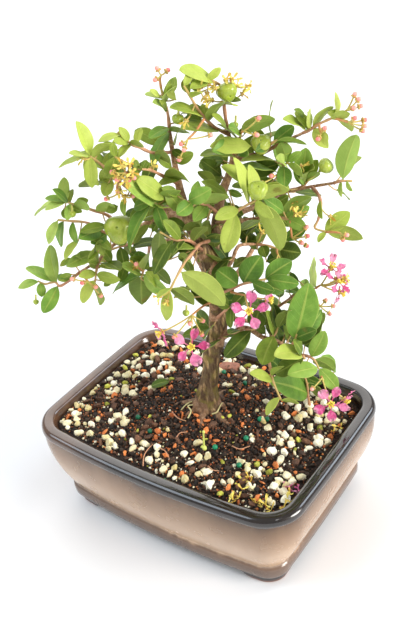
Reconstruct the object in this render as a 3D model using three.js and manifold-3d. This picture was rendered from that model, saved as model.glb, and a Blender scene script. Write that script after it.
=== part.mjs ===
import * as THREE from "three";
import { mergeVertices } from "three/addons/utils/BufferGeometryUtils.js";
import Module from "manifold-3d";

const wasm = await Module();
wasm.setup();
const { Manifold } = wasm;

// Driving dimensions, in millimetres. The origin is on the table under the pot's middle,
// X runs along the pot's long side, Y along its short side and Z is up.
const POT_HALF_LENGTH = 100;
const POT_HALF_WIDTH = 73.6;
const POT_HEIGHT = 69.6;
const RIM_WIDTH = 9.5;
const RIM_BAND_HEIGHT = 5.4;
const RIM_ROUNDING = 1.6;
const RIM_OVERHANG = 0.8;
const RIM_CORNER_RADIUS = 23;
const BASE_HALF_LENGTH = 86.9;
const BASE_HALF_WIDTH = 64.2;
const BASE_CORNER_RADIUS = 13;
const BASE_BAND_BOTTOM = 9.3;
const BASE_BAND_TOP = 16.4;
const BAND_STEP = 1.1;
const WALL_HEIGHTS = [22, 28, 36, 46];
const BELLY_HEIGHT_SHARE = 0.85;
const BELLY_ROUNDNESS = 1.75;
const FOOT_INSET = 3.5;
const FOOT_RING_WIDTH = 9;
const FOOT_ARCH_HEIGHT = 7.4;
const FOOT_LENGTH = 24;
const FOOT_CORNER_RADIUS = 11;
const ARCH_CORNER_RADIUS = 4;
const UNDERSIDE_RECESS = 1;
const LONG_SIDE_BOW = 0.087;
const SHORT_SIDE_BOW = 0.013;
const FLOOR_TOP = 15.5;
const FLOOR_INSET = 9.5;
const FLOOR_ROUNDING = 2;
const HOLLOW_ROUNDNESS = 1.6;
const HOLLOW_HEIGHTS = [19.5, 28, 42];
const FLOOR_CORNER_TIGHTENING = 4;
const DRAIN_HOLE_RADIUS = 7;
const DRAIN_HOLE_X = 45;
const SCREEN_SIZE = 25;
const SCREEN_THICKNESS = 1;
const SCREEN_SLOT = 3;
const SCREEN_PITCH = 6;
const SOIL_EDGE_HEIGHT = 63.8;
const SOIL_MOUND_RISE = 11.3;
const SOIL_MOUND_HALF_LENGTH = 62;
const SOIL_MOUND_HALF_WIDTH = 50;
const SOIL_MOUND_STEEPNESS = 1.6;
const SOIL_RING_SHARES = [0.85, 0.68, 0.5, 0.32, 0.15];
const SEAT_GAP = 0.3;
const STUMP_TOP = [207, 404, 0];
const STUMP_HEIGHTS = [2, -9.6, -24];
const STUMP_RADII = [9.4, 8.4, 6];
const ROOT_SHARES = [0.05, 0.35, 0.68, 1];
const ROOT_DEPTHS = [-1, 0.4, 1.6, 5];
const ROOT_BEND = 0.25;
const ROOT_TAPER = 0.75;
const THICK_LIMB_RADIUS = 4.4;
const THICK_LIMB_SIDES = 9;
const LIMB_SIDES = 5;
const TWIG_SIDES = 4;
const STALK_SIDES = 3;
const BAR_START_BULGE = 0.4;
const BAR_END_BULGE = 0.5;
const LEAF_WIDTH_TO_LENGTH = 0.5;
const LEAF_FULLNESS = 0.6;
const LEAF_THICKNESS = 0.7;
const LEAF_ARCH = 0.07;
const LEAF_FOLD = 0.22;
const LEAF_STATIONS = [0.1, 0.42, 0.8];
const SMALL_LEAF_STATIONS = [0.14, 0.62];
const SMALL_LEAF_LENGTH = 14;
const PETAL_LENGTH = 11.2;
const PETAL_WIDTH = 7.4;
const PETAL_CLAW_SHARPNESS = 2.6;
const PETAL_FULLNESS = 0.6;
const PETAL_THICKNESS = 0.6;
const PETAL_ARCH = -0.04;
const PETAL_FOLD = 0.12;
const PETAL_TIP_RISE = 1.5;
const PETAL_STATIONS = [0.3, 0.78];
const HEART_RADIUS = 2.8;
const BUD_RADIUS = 1.8;
const STALK_RADIUS = 0.5;
const COMMON_STALK_RADIUS = 0.65;
const TWIG_START_RADIUS = 1.25;
const TWIG_END_RADIUS = 0.7;
const FRUIT_HEIGHT_SHARE = 0.92;
const FRUIT_LOBE_RISE = 0.06;
const FRUIT_END_DENT = 0.1;

// A flake of bark on the soil: the column and row where it is seen, its size in millimetres, the
// tilt and turn in degrees, and its outline as parts of its length and width.
const BARK_CHIP = { column: 230, row: 368, length: 15, width: 9, thickness: 4, rise: 0.6, tilt: 6, turn: 20 };
const BARK_CHIP_OUTLINE = [[-0.5, -0.2], [-0.3, -0.5], [0.25, -0.45], [0.5, -0.1], [0.42, 0.4],
  [-0.1, 0.5], [-0.45, 0.3]];

// A place on the plant is written as the column and row at which a viewer sees it, in a frame
// of 416 by 624, with its distance in millimetres towards that viewer from the upright plane
// through the trunk. The viewer stands as these values say.
const VIEW_AZIMUTH = THREE.MathUtils.degToRad(38.16);
const VIEW_ELEVATION = THREE.MathUtils.degToRad(32.42);
const VIEW_ROLL = THREE.MathUtils.degToRad(-7.54);
const VIEW_DISTANCE = 725.7;
const VIEW_TARGET = new THREE.Vector3(-107.85, 154.25, 25);
const VIEW_FOCAL = 819.3;
const VIEW_CENTRE_COLUMN = 208;
const VIEW_CENTRE_ROW = 312;
const TRUNK_FOOT = new THREE.Vector3(3.8, -1.7, 76);

// Limbs that grew in one piece with the trunk: each row is column, row, towards, radius.
const LIMBS = [
  ["trunk", [[207, 404, 0, 9.5], [208, 392, 0, 7.7], [210, 372, 0, 6.8], [213, 350, 0, 6.3],
    [218, 328, 0, 5.9], [218, 308, 0, 5.7], [215, 288, 0, 5.5], [212, 270, 0, 5.4],
    [206, 256, 0, 4.9], [196, 238, -2, 4.0], [187, 217, -3, 3.4], [181, 194, -4, 2.9],
    [176, 170, -6, 2.2], [172, 148, -8, 1.8], [169, 130, -8, 1.4]]],
  ["right_leader", [[211, 266, 0, 4.5], [215, 240, -6, 3.8], [218, 212, -9, 3.4],
    [223, 190, -10, 3.0], [229, 175, -12, 2.7], [233, 157, -12, 2.2], [229, 136, -10, 1.5],
    [226, 120, -9, 1.3]]],
  ["left_upper", [[183, 203, -3, 2.5], [163, 209, 9, 2.0], [149, 200, 15, 1.6],
    [130, 190, 15, 1.2], [112, 175, 9, 1.0]]],
  ["left_lower", [[187, 217, -3, 2.7], [165, 214, -12, 2.2], [147, 223, -18, 1.9],
    [116, 243, -18, 1.5], [100, 259, -12, 1.3], [80, 272, -6, 1.0]]],
  ["left_dark", [[204, 254, 0, 2.7], [186, 246, -14, 2.2], [170, 241, -22, 2.0],
    [150, 242, -30, 1.6], [134, 243, -36, 1.2]]],
  ["right_upper", [[232, 160, -12, 2.2], [256, 155, -8, 1.9], [270, 149, -3, 1.5],
    [286, 141, 3, 1.3], [303, 133, 9, 1.0]]],
  ["right_middle", [[217, 216, -9, 2.7], [238, 213, -21, 2.3], [258, 205, -24, 2.1],
    [273, 197, -20, 2.0], [288, 191, -12, 1.6], [315, 186, -3, 1.2], [334, 183, 4, 1.0]]],
  ["right_arch", [[212, 268, 0, 2.3], [229, 265, 9, 1.6], [236, 250, 12, 1.4],
    [241, 245, 10, 1.3], [256, 244, 3, 1.1]]],
  ["right_stub", [[217, 224, -8, 2.3], [247, 220, -8, 1.6], [262, 218, -6, 1.4],
    [276, 217, -3, 1.0]]],
  ["right_low", [[216, 340, 0, 3.1], [236, 331, 4, 2.2], [247, 328, 9, 1.9],
    [262, 337, 12, 1.7], [277, 341, 15, 1.5], [291, 350, 18, 1.3], [303, 355, 20, 1.0]]],
  ["right_centre", [[217, 314, 0, 2.7], [238, 319, -10, 1.9], [258, 321, -15, 1.5],
    [275, 309, -10, 1.4], [292, 297, -4, 1.0]]],
  ["back_left", [[215, 292, 0, 3.1], [200, 262, -26, 2.3], [184, 238, -42, 1.7],
    [170, 218, -50, 1.2]]],
  ["back_right", [[217, 304, 0, 3.1], [236, 276, -20, 2.3], [252, 250, -33, 1.8],
    [262, 226, -40, 1.2]]],
];

// Leafy shoots: a name, the twig's rows of column, row, towards, and the leaves' rows of the
// stalk's column and row, the tip's column, row and towards, and the width as it is seen.
const SHOOTS = [
  ["top_left", [[170, 134, -8], [168, 115, -8], [165, 103, -6], [161, 88, -6]],
    [[161, 97, 176, 77, -12, 10], [165, 103, 174, 86, 6, 6], [161, 99, 145, 94, -3, 5],
      [163, 111, 153, 102, 3, 5], [168, 127, 149, 138, 3, 10], [170, 131, 189, 131, 6, 6],
      [169, 132, 152, 167, 4, 11]]],
  ["top_middle", [[228, 134, -10], [213, 126, -4], [200, 112, 0], [191, 98, 4], [184, 86, 8]],
    [[204, 117, 170, 107, 9, 8], [201, 113, 181, 113, -12, 8], [184, 87, 190, 73, 3, 8],
      [207, 119, 202, 104, -9, 9], [209, 119, 224, 100, 9, 9], [221, 130, 181, 127, 6, 9],
      [191, 98, 201, 92, 15, 6]]],
  ["top_leader", [[226, 122, -9], [224, 104, -9], [223, 88, -9], [212, 81, -4], [201, 80, -2]],
    [[216, 84, 180, 69, 4, 12], [206, 80, 221, 68, -4, 8], [208, 82, 190, 88, 6, 10],
      [224, 100, 241, 99, -3, 6], [224, 104, 234, 105, 6, 5]]],
  ["upper_left", [[173, 152, -8], [154, 153, 0], [141, 148, 4], [131, 144, 6], [118, 132, 6]],
    [[120, 134, 98, 141, 9, 7], [131, 139, 113, 141, 12, 7], [134, 135, 119, 127, 6, 8],
      [128, 144, 144, 145, 14, 6], [131, 146, 119, 157, 14, 7], [154, 152, 171, 160, 12, 9]]],
  ["left_shade", [[178, 184, -4], [163, 176, 6], [150, 170, 14], [137, 168, 18], [115, 157, 18]],
    [[140, 168, 134, 160, 22, 7], [142, 169, 147, 160, 14, 6], [137, 168, 129, 174, 22, 7],
      [115, 157, 108, 178, 21, 14], [116, 157, 112, 142, 15, 8], [163, 176, 190, 181, 21, 9]]],
  ["far_upper_left", [[112, 175, 9], [103, 166, 12], [90, 156, 14]],
    [[91, 155, 77, 121, 12, 13], [87, 155, 92, 188, 20, 14], [87, 157, 69, 153, 20, 5],
      [87, 159, 71, 160, 9, 5], [87, 161, 58, 167, 14, 5], [93, 155, 110, 143, 20, 9],
      [106, 168, 103, 186, 4, 12]]],
  ["left_rosette", [[128, 236, -18], [110, 217, -8], [95, 211, 0], [80, 206, 3], [66, 202, 4]],
    [[66, 202, 64, 177, 3, 11], [68, 202, 53, 189, 9, 7], [66, 203, 45, 198, 3, 7],
      [66, 204, 45, 210, 8, 7], [67, 207, 34, 215, -2, 4], [74, 203, 90, 208, 12, 9],
      [70, 204, 67, 220, 12, 9], [95, 211, 114, 205, 9, 10]]],
  ["left_middle", [[122, 238, -18], [104, 232, -6], [88, 223, -3], [70, 221, -2], [58, 220, -2]],
    [[58, 220, 48, 244, 2, 9], [63, 221, 60, 247, -6, 8], [72, 222, 77, 243, 4, 7],
      [101, 231, 79, 238, 10, 15], [108, 233, 91, 243, 2, 12]]],
  ["far_left", [[80, 272, -6], [70, 280, -8], [60, 286, -9], [55, 282, -10], [45, 284, -12],
    [38, 281, -12]],
    [[57, 283, 48, 245, -6, 15], [55, 282, 26, 267, -12, 10], [39, 281, 18, 288, -12, 8],
      [40, 282, 42, 297, -8, 9], [58, 285, 43, 313, -3, 15], [72, 278, 58, 278, 3, 5]]],
  ["left_low", [[101, 258, -12], [97, 268, -6], [95, 282, -3]],
    [[96, 272, 79, 276, 3, 9], [96, 276, 120, 280, 4, 11], [98, 266, 122, 268, -6, 7],
      [95, 280, 82, 303, 2, 11], [96, 281, 100, 305, -8, 7], [98, 264, 76, 256, 3, 9],
      [98, 262, 94, 247, 6, 13]]],
  ["left_dark_end", [[134, 243, -36], [122, 246, -39], [110, 250, -39]],
    [[112, 250, 99, 262, -36, 9], [120, 247, 125, 268, -30, 12], [128, 244, 110, 235, -44, 12],
      [112, 250, 96, 242, -45, 9], [126, 245, 134, 258, -45, 9]]],
  ["left_hanging", [[150, 242, -30], [148, 256, -18], [143, 272, -6], [141, 279, -4]],
    [[141, 275, 112, 292, -15, 8], [142, 276, 142, 304, -12, 25], [143, 271, 146, 254, 4, 9],
      [145, 269, 138, 251, -10, 17], [141, 274, 121, 265, 3, 9], [144, 274, 169, 293, 8, 13],
      [145, 268, 170, 284, -12, 10]]],
  ["centre_left", [[167, 209, 8], [158, 205, 16], [151, 203, 20]],
    [[152, 203, 120, 249, 20, 13], [160, 205, 126, 184, 26, 17], [160, 206, 178, 190, 27, 12],
      [155, 204, 165, 232, 26, 13], [151, 203, 133, 208, 12, 11]]],
  ["centre_dark", [[202, 250, 4], [190, 241, 20], [176, 240, 27], [160, 232, 28]],
    [[160, 232, 156, 263, 22, 16], [180, 241, 163, 220, 27, 12], [184, 241, 172, 254, 38, 8],
      [172, 239, 153, 274, 33, 14], [192, 242, 206, 226, 27, 11]]],
  ["front_drooping", [[209, 241, 6], [200, 244, 18], [193, 252, 27], [185, 262, 33],
    [177, 276, 38], [170, 290, 40]],
    [[180, 271, 225, 305, 40, 22], [171, 289, 194, 304, 33, 12], [170, 290, 165, 321, 42, 12],
      [187, 260, 191, 274, 27, 8], [171, 288, 157, 298, 48, 5], [195, 249, 178, 248, 36, 6]]],
  ["centre_top", [[218, 214, -6], [209, 206, 9], [197, 203, 16], [188, 201, 20]],
    [[188, 201, 211, 189, 24, 16], [192, 202, 177, 214, 27, 15], [204, 204, 229, 196, 20, 9],
      [207, 205, 194, 221, 24, 13], [195, 202, 198, 181, 14, 10]]],
  ["right_bright", [[217, 223, -4], [227, 221, 12], [236, 212, 18], [247, 205, 22],
    [257, 200, 24]],
    [[239, 209, 215, 219, 27, 13], [236, 212, 225, 253, 26, 19], [249, 203, 235, 157, 21, 10],
      [251, 202, 250, 164, 12, 12], [256, 200, 289, 188, 30, 12], [256, 201, 273, 218, 34, 10],
      [254, 202, 281, 250, 27, 19]]],
  ["right_stub_end", [[276, 217, -3], [283, 218, 3], [292, 221, 6]],
    [[280, 217, 311, 196, 9, 14], [283, 218, 310, 207, 0, 12], [286, 219, 306, 229, 12, 12],
      [279, 217, 267, 205, 0, 8]]],
  ["arch_end", [[256, 244, 3], [268, 246, 6], [279, 249, 8]],
    [[279, 249, 301, 253, 14, 19], [271, 247, 283, 263, 0, 12], [262, 245, 266, 257, 12, 12],
      [258, 244, 265, 229, 6, 8], [262, 245, 240, 240, -6, 9], [276, 248, 290, 240, -3, 9]]],
  ["centre_blue", [[216, 296, 6], [229, 290, 20], [243, 284, 27], [256, 281, 30], [266, 279, 30]],
    [[244, 284, 261, 256, 28, 23], [264, 279, 292, 261, 27, 20], [266, 279, 299, 284, 36, 15],
      [239, 286, 217, 270, 22, 20], [252, 282, 274, 291, 40, 12], [228, 290, 231, 266, 10, 9]]],
  ["low_left_dark", [[217, 318, 4], [226, 310, 18], [234, 304, 24]],
    [[233, 305, 245, 293, 21, 12], [230, 307, 214, 298, 28, 12], [232, 306, 230, 328, 30, 8]]],
  ["low_middle", [[245, 329, 8], [250, 330, 14], [255, 329, 18]],
    [[252, 330, 224, 357, 21, 16], [254, 329, 259, 311, 9, 18], [253, 330, 270, 320, 6, 8]]],
  ["low_upright_dark", [[270, 339, 14], [275, 334, 20], [278, 327, 21]],
    [[274, 335, 266, 311, 24, 9], [277, 329, 273, 304, 20, 11], [278, 328, 290, 309, 28, 12],
      [274, 335, 262, 365, 26, 21]]],
  ["big_upright", [[289, 349, 18], [294, 342, 24], [297, 334, 26]],
    [[294, 341, 309, 283, 22, 29], [297, 335, 323, 310, 15, 13], [296, 338, 316, 330, 33, 13]]],
  ["low_pale", [[298, 353, 20], [303, 356, 26], [305, 359, 27]],
    [[303, 355, 275, 355, 38, 16], [302, 354, 294, 340, 30, 8], [304, 358, 275, 374, 20, 16]]],
  ["low_right", [[303, 355, 20], [310, 357, 22], [315, 361, 24], [319, 369, 26]],
    [[311, 357, 325, 331, 24, 16], [314, 359, 334, 369, 15, 12], [318, 367, 288, 374, 36, 16],
      [319, 368, 338, 390, 32, 14]]],
  ["sucker", [[312, 420, 0], [310, 408, 3], [308, 394, 6], [306, 380, 9], [301, 372, 10]],
    [[308, 395, 270, 381, 20, 26], [302, 373, 284, 368, 3, 9], [306, 382, 318, 396, 2, 9]]],
  ["low_front", [[273, 340, 15], [269, 354, 18], [270, 367, 24], [273, 381, 28],
    [281, 400, 32]],
    [[272, 380, 250, 373, 33, 10], [280, 398, 266, 415, 38, 8], [281, 400, 299, 403, 36, 4],
      [272, 377, 283, 366, 33, 6]]],
  ["right_centre_end", [[292, 297, -4], [303, 292, 3], [316, 288, 9]],
    [[315, 288, 313, 257, 12, 7], [308, 290, 304, 279, -4, 9], [300, 293, 286, 290, -12, 8]]],
  ["right_upper_base", [[232, 155, -12], [238, 146, -3], [241, 133, 2]],
    [[241, 132, 275, 118, 6, 14], [239, 143, 213, 151, 12, 17], [238, 146, 248, 155, 9, 10],
      [240, 136, 229, 127, 12, 7]]],
  ["right_upper_middle", [[266, 151, -4], [271, 144, 3], [277, 140, 6]],
    [[273, 143, 294, 126, 3, 14], [270, 145, 256, 151, 10, 10], [276, 141, 307, 143, 12, 5]]],
  ["right_upper_tip", [[303, 133, 9], [311, 129, 12], [319, 124, 14], [330, 119, 15],
    [338, 116, 15]],
    [[307, 131, 283, 119, 18, 7], [309, 130, 295, 112, 8, 9], [311, 129, 309, 109, 18, 5],
      [313, 128, 333, 106, 14, 7], [314, 127, 328, 148, 22, 13], [330, 119, 350, 113, 22, 9],
      [337, 116, 336, 92, 10, 5], [336, 117, 352, 131, 9, 6]]],
  ["right_inner", [[277, 196, -16], [279, 181, -9], [282, 168, -3], [288, 162, 2]],
    [[282, 170, 273, 141, -12, 9], [287, 163, 280, 142, 6, 15], [284, 166, 284, 188, 8, 15],
      [287, 163, 303, 176, 9, 7], [288, 162, 301, 152, 4, 8], [285, 165, 276, 158, 12, 8],
      [281, 173, 240, 166, 6, 5]]],
  ["right_broad", [[294, 190, -9], [301, 187, -4], [306, 183, -2], [309, 179, 0]],
    [[302, 186, 306, 148, -3, 20], [307, 182, 319, 172, 6, 8], [304, 184, 296, 171, 4, 7]]],
  ["right_end", [[334, 183, 4], [341, 181, 8], [352, 181, 9]],
    [[342, 181, 356, 134, 9, 21], [341, 181, 341, 197, 12, 4], [346, 181, 352, 191, 15, 4]]],
  ["right_hanging", [[312, 187, -3], [319, 196, 6], [321, 208, 9], [318, 220, 10], [315, 228, 12],
    [326, 232, 15]],
    [[320, 199, 322, 219, 16, 5], [325, 231, 350, 212, 12, 16], [326, 232, 363, 238, 18, 13],
      [325, 232, 318, 242, 20, 6]]],
  ["back_left_end", [[170, 218, -50], [163, 212, -52], [155, 206, -53]],
    [[155, 206, 132, 196, -48, 16], [157, 207, 150, 228, -57, 14], [164, 213, 178, 196, -58, 14],
      [160, 210, 150, 190, -56, 12], [168, 216, 184, 224, -50, 12], [156, 206, 143, 214, -60, 9]]],
  ["back_right_end", [[262, 226, -40], [265, 217, -42], [268, 207, -43]],
    [[268, 207, 288, 196, -36, 15], [267, 210, 250, 202, -48, 14], [264, 220, 284, 228, -36, 15],
      [263, 222, 248, 230, -38, 12], [268, 207, 272, 186, -44, 12], [265, 217, 255, 212, -50, 9]]],
  ["back_middle", [[209, 262, -4], [204, 240, -18], [208, 218, -28], [212, 206, -32]],
    [[208, 218, 188, 205, -40, 14], [209, 214, 226, 200, -34, 14], [206, 228, 226, 236, -34, 13],
      [205, 234, 186, 226, -34, 13], [212, 206, 214, 186, -36, 13],
      [212, 206, 200, 192, -44, 10]]],
];

// Flower heads: a name, the common stalk's rows of column, row, towards, the open flowers' rows
// of column, row, towards, turn in degrees and how far each faces the viewer, then the buds.
const FLOWER_HEADS = [
  ["front", [[215, 300, 3], [202, 307, 21], [192, 315, 33]],
    [[191, 347, 40, 80, 1.0], [162, 332, 39, 200, 0.1]],
    [[174, 337, 38], [202, 335, 36], [190, 324, 44], [203, 321, 32]]],
  ["middle", [[231, 292, 21], [239, 294, 30], [245, 295, 36]],
    [[249, 311, 42, 85, 1.0], [267, 299, 38, 30, 0.2]],
    []],
  ["right_open", [[316, 288, 9], [319, 286, 12], [321, 285, 14]],
    [[331, 268, 15, 70, 0.3], [337, 281, 20, 10, 0.1], [340, 292, 16, 300, 0.2]],
    []],
  ["right_buds", [[300, 294, 2], [310, 300, 8], [320, 306, 12]],
    [],
    [[334, 306, 14], [330, 314, 16], [326, 300, 9]]],
  ["low_right", [[320, 371, 26], [321, 375, 28], [322, 378, 30]],
    [[331, 404, 38, 60, 0.9], [344, 399, 30, 20, 0.4]],
    [[312, 389, 36]]],
  ["upper_high", [[338, 116, 15], [343, 113, 16], [347, 110, 18]],
    [],
    [[355, 94, 18], [359, 99, 21], [361, 106, 18], [354, 108, 24]]],
  ["upper_low", [[334, 118, 15], [341, 120, 18], [348, 122, 20]],
    [],
    [[355, 118, 21], [365, 120, 18], [365, 126, 22], [363, 131, 20]]],
  ["right_row", [[290, 221, 6], [291, 230, 9], [292, 238, 10]],
    [],
    [[307, 227, 12], [308, 236, 15], [302, 243, 16], [307, 246, 9]]],
  ["hanging_pair", [[277, 249, 8], [277, 252, 14], [278, 255, 18]],
    [],
    [[283, 262, 22], [273, 268, 26]]],
  ["upper_pair", [[241, 133, 2], [242, 132, 8], [244, 131, 10]],
    [],
    [[259, 118, 14], [257, 135, 15]]],
];

// Fruits: a name, the middle's column, row, towards, the radius in millimetres, and the place
// on the twig from which the fruit's stalk comes.
const FRUITS = [
  ["left", [119, 229, 6], 8.2, [128, 236, -18]],
  ["top", [227, 92, -4], 5.4, [223, 86, -9]],
  ["upper", [261, 144, 2], 5.6, [262, 153, -4]],
  ["right", [326, 166, 3], 4.4, [308, 180, 0]],
  ["middle", [258, 190, 32], 5.2, [258, 200, 24]],
];

// Surface roots: the compass direction in degrees, the length and the radius at the trunk.
const ROOTS = [
  [-75, 26, 3.6], [-25, 30, 4.2], [30, 24, 3.4], [85, 30, 4.0], [140, 25, 3.6], [190, 31, 4.2],
  [235, 24, 3.2],
];

const viewBack = new THREE.Vector3(
  Math.sin(VIEW_AZIMUTH) * Math.cos(VIEW_ELEVATION),
  -Math.cos(VIEW_AZIMUTH) * Math.cos(VIEW_ELEVATION),
  Math.sin(VIEW_ELEVATION),
);
const levelRight = new THREE.Vector3(Math.cos(VIEW_AZIMUTH), Math.sin(VIEW_AZIMUTH), 0);
const levelUp = new THREE.Vector3().crossVectors(viewBack, levelRight);
const viewRight = levelRight.clone().multiplyScalar(Math.cos(VIEW_ROLL))
  .addScaledVector(levelUp, Math.sin(VIEW_ROLL));
const viewUp = levelUp.clone().multiplyScalar(Math.cos(VIEW_ROLL))
  .addScaledVector(levelRight, -Math.sin(VIEW_ROLL));
const eye = VIEW_TARGET.clone().addScaledVector(viewBack, VIEW_DISTANCE);
const towardsViewer = new THREE.Vector3(Math.sin(VIEW_AZIMUTH), -Math.cos(VIEW_AZIMUTH), 0);

// The direction in which a viewer looks to see a column and row.
function lookAlong(column, row) {
  return viewBack.clone().multiplyScalar(-VIEW_FOCAL)
    .addScaledVector(viewRight, column - VIEW_CENTRE_COLUMN)
    .addScaledVector(viewUp, VIEW_CENTRE_ROW - row);
}

// The place seen at a column and row, a distance towards the viewer from the trunk's plane.
function sight([column, row, towards]) {
  const look = lookAlong(column, row);
  const reach = (TRUNK_FOOT.clone().sub(eye).dot(towardsViewer) + towards) / look.dot(towardsViewer);
  return eye.clone().addScaledVector(look, reach);
}

// The column and row at which a place is seen.
function seenAt(place) {
  const away = place.clone().sub(eye);
  const scale = -VIEW_FOCAL / away.dot(viewBack);
  return [VIEW_CENTRE_COLUMN + away.dot(viewRight) * scale,
    VIEW_CENTRE_ROW - away.dot(viewUp) * scale];
}

// Millimetres per step of the frame at a place.
function frameScale(place) {
  return -place.clone().sub(eye).dot(viewBack) / VIEW_FOCAL;
}

// A closed body through rings of points, with each end drawn to a point.
function sweepGeometry(startPoint, rings, endPoint) {
  const ringSize = rings[0].length;
  const points = [startPoint, ...rings.flat(), endPoint];
  const lastPoint = points.length - 1;
  const at = (ring, step) => 1 + ring * ringSize + (step % ringSize);
  const faces = [];
  for (let step = 0; step < ringSize; step += 1) {
    faces.push(0, at(0, step + 1), at(0, step));
    for (let ring = 0; ring + 1 < rings.length; ring += 1) {
      faces.push(at(ring, step), at(ring, step + 1), at(ring + 1, step + 1));
      faces.push(at(ring, step), at(ring + 1, step + 1), at(ring + 1, step));
    }
    faces.push(at(rings.length - 1, step), at(rings.length - 1, step + 1), lastPoint);
  }
  const geometry = new THREE.BufferGeometry().setFromPoints(points);
  geometry.setIndex(faces);
  return geometry;
}

// Six times the volume that a closed geometry holds, negative when its faces point inwards.
function signedVolume(geometry) {
  const position = geometry.attributes.position;
  const index = geometry.index.array;
  const [a, b, c] = [new THREE.Vector3(), new THREE.Vector3(), new THREE.Vector3()];
  let total = 0;
  for (let corner = 0; corner < index.length; corner += 3) {
    a.fromBufferAttribute(position, index[corner]);
    b.fromBufferAttribute(position, index[corner + 1]);
    c.fromBufferAttribute(position, index[corner + 2]);
    total += a.dot(b.cross(c));
  }
  return total;
}

function toSolid(geometry) {
  const bare = geometry.clone();
  bare.deleteAttribute("normal");
  bare.deleteAttribute("uv");
  const merged = mergeVertices(bare, 1e-5);
  const faces = Uint32Array.from(merged.index.array);
  if (signedVolume(merged) < 0) {
    for (let corner = 0; corner < faces.length; corner += 3) {
      [faces[corner + 1], faces[corner + 2]] = [faces[corner + 2], faces[corner + 1]];
    }
  }
  return new Manifold(new wasm.Mesh({
    numProp: 3,
    vertProperties: Float32Array.from(merged.attributes.position.array),
    triVerts: faces,
  }));
}

function toGeometry(solid) {
  const mesh = solid.getMesh();
  const geometry = new THREE.BufferGeometry();
  geometry.setAttribute("position", new THREE.BufferAttribute(mesh.vertProperties, 3));
  geometry.setIndex(new THREE.BufferAttribute(mesh.triVerts, 1));
  return geometry;
}

const joined = (solids) => solids.reduce((whole, piece) => whole.add(piece));
const cutBy = (solid, cutters) => cutters.reduce((left, cutter) => left.subtract(cutter), solid);

// The largest of the pieces that a cut leaves.
function largestPiece(solid) {
  return solid.decompose().reduce((best, piece) => (piece.volume() > best.volume() ? piece : best));
}

// A round bar through points, each with its own radius.
function barGeometry(points, radii, sides) {
  const along = points.map((point, index) => {
    const before = points[Math.max(index - 1, 0)];
    const after = points[Math.min(index + 1, points.length - 1)];
    return after.clone().sub(before).normalize();
  });
  let normal = new THREE.Vector3(0.31, 0.87, 0.38);
  const rings = points.map((point, index) => {
    normal = normal.clone().addScaledVector(along[index], -normal.dot(along[index])).normalize();
    const across = new THREE.Vector3().crossVectors(along[index], normal);
    return Array.from({ length: sides }, (_, side) => {
      const turn = (side / sides) * 2 * Math.PI;
      return point.clone()
        .addScaledVector(normal, Math.cos(turn) * radii[index])
        .addScaledVector(across, Math.sin(turn) * radii[index]);
    });
  });
  const last = points.length - 1;
  const start = points[0].clone().addScaledVector(along[0], -BAR_START_BULGE * radii[0]);
  const end = points[last].clone().addScaledVector(along[last], BAR_END_BULGE * radii[last]);
  return sweepGeometry(start, rings, end);
}

// Half the width of a leaf or petal at a fraction of its length, as a part of its full width.
const leafOutline = (fraction) => 0.5 * (4 * fraction * (1 - fraction)) ** LEAF_FULLNESS;
const petalOutline = (fraction) => (
  0.5 * Math.sin(Math.PI * fraction ** PETAL_CLAW_SHARPNESS) ** PETAL_FULLNESS);

// A blade with a V fold along its middle, as a chevron when it is bare and as a slab with
// thick edges when it is grown by a clearance.
function bladeGeometry(blade, outline, stations, clearance) {
  const { base, tip, side, normal, width, thickness, arch, fold } = blade;
  const span = tip.clone().sub(base);
  const half = thickness / 2 + clearance;
  const rings = stations.map((fraction) => {
    const lift = arch * span.length() * 4 * fraction * (1 - fraction);
    const middle = base.clone().addScaledVector(span, fraction).addScaledVector(normal, lift);
    const reach = Math.max(outline(fraction) * width, thickness) + clearance;
    const rise = fold * reach;
    const at = (across, up) => middle.clone()
      .addScaledVector(side, across).addScaledVector(normal, up);
    if (clearance === 0) {
      return [at(-reach, rise), at(0, half), at(reach, rise), at(0, -half)];
    }
    return [at(-reach, rise + half), at(0, half), at(reach, rise + half),
      at(reach, rise - half), at(0, -half), at(-reach, rise - half)];
  });
  const outward = span.clone().normalize();
  const start = base.clone().addScaledVector(outward, -clearance);
  const end = tip.clone().addScaledVector(outward, clearance);
  return sweepGeometry(start, rings, end);
}

// The point of a twig that is seen nearest to a column and row.
function nearestOnTwig(points, column, row) {
  let best = points[0];
  let bestDistance = Infinity;
  for (let index = 0; index + 1 < points.length; index += 1) {
    for (let step = 0; step <= 8; step += 1) {
      const place = points[index].clone().lerp(points[index + 1], step / 8);
      const [placeColumn, placeRow] = seenAt(place);
      const distance = Math.hypot(placeColumn - column, placeRow - row);
      if (distance < bestDistance) {
        best = place;
        bestDistance = distance;
      }
    }
  }
  return best;
}

// A leaf turned about its length until it looks as wide as it does to the viewer.
function leafBlade(twig, [baseColumn, baseRow, tipColumn, tipRow, towards, seenWidth]) {
  const base = nearestOnTwig(twig, baseColumn, baseRow);
  const tip = sight([tipColumn, tipRow, towards]);
  const span = tip.clone().sub(base);
  const along = span.clone().normalize();
  const view = eye.clone().sub(tip).normalize();
  const flatSide = new THREE.Vector3().crossVectors(along, view).normalize();
  const edgeSide = new THREE.Vector3().crossVectors(along, flatSide);
  const seen = seenWidth * frameScale(tip);
  const width = Math.max(seen, LEAF_WIDTH_TO_LENGTH * span.length());
  const turn = Math.acos(seen / width);
  const side = flatSide.multiplyScalar(Math.cos(turn)).addScaledVector(edgeSide, Math.sin(turn));
  const normal = new THREE.Vector3().crossVectors(along, side);
  if (normal.z < 0) {
    normal.negate();
  }
  return { base, tip, side, normal, width, thickness: LEAF_THICKNESS, arch: LEAF_ARCH, fold: LEAF_FOLD };
}

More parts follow.
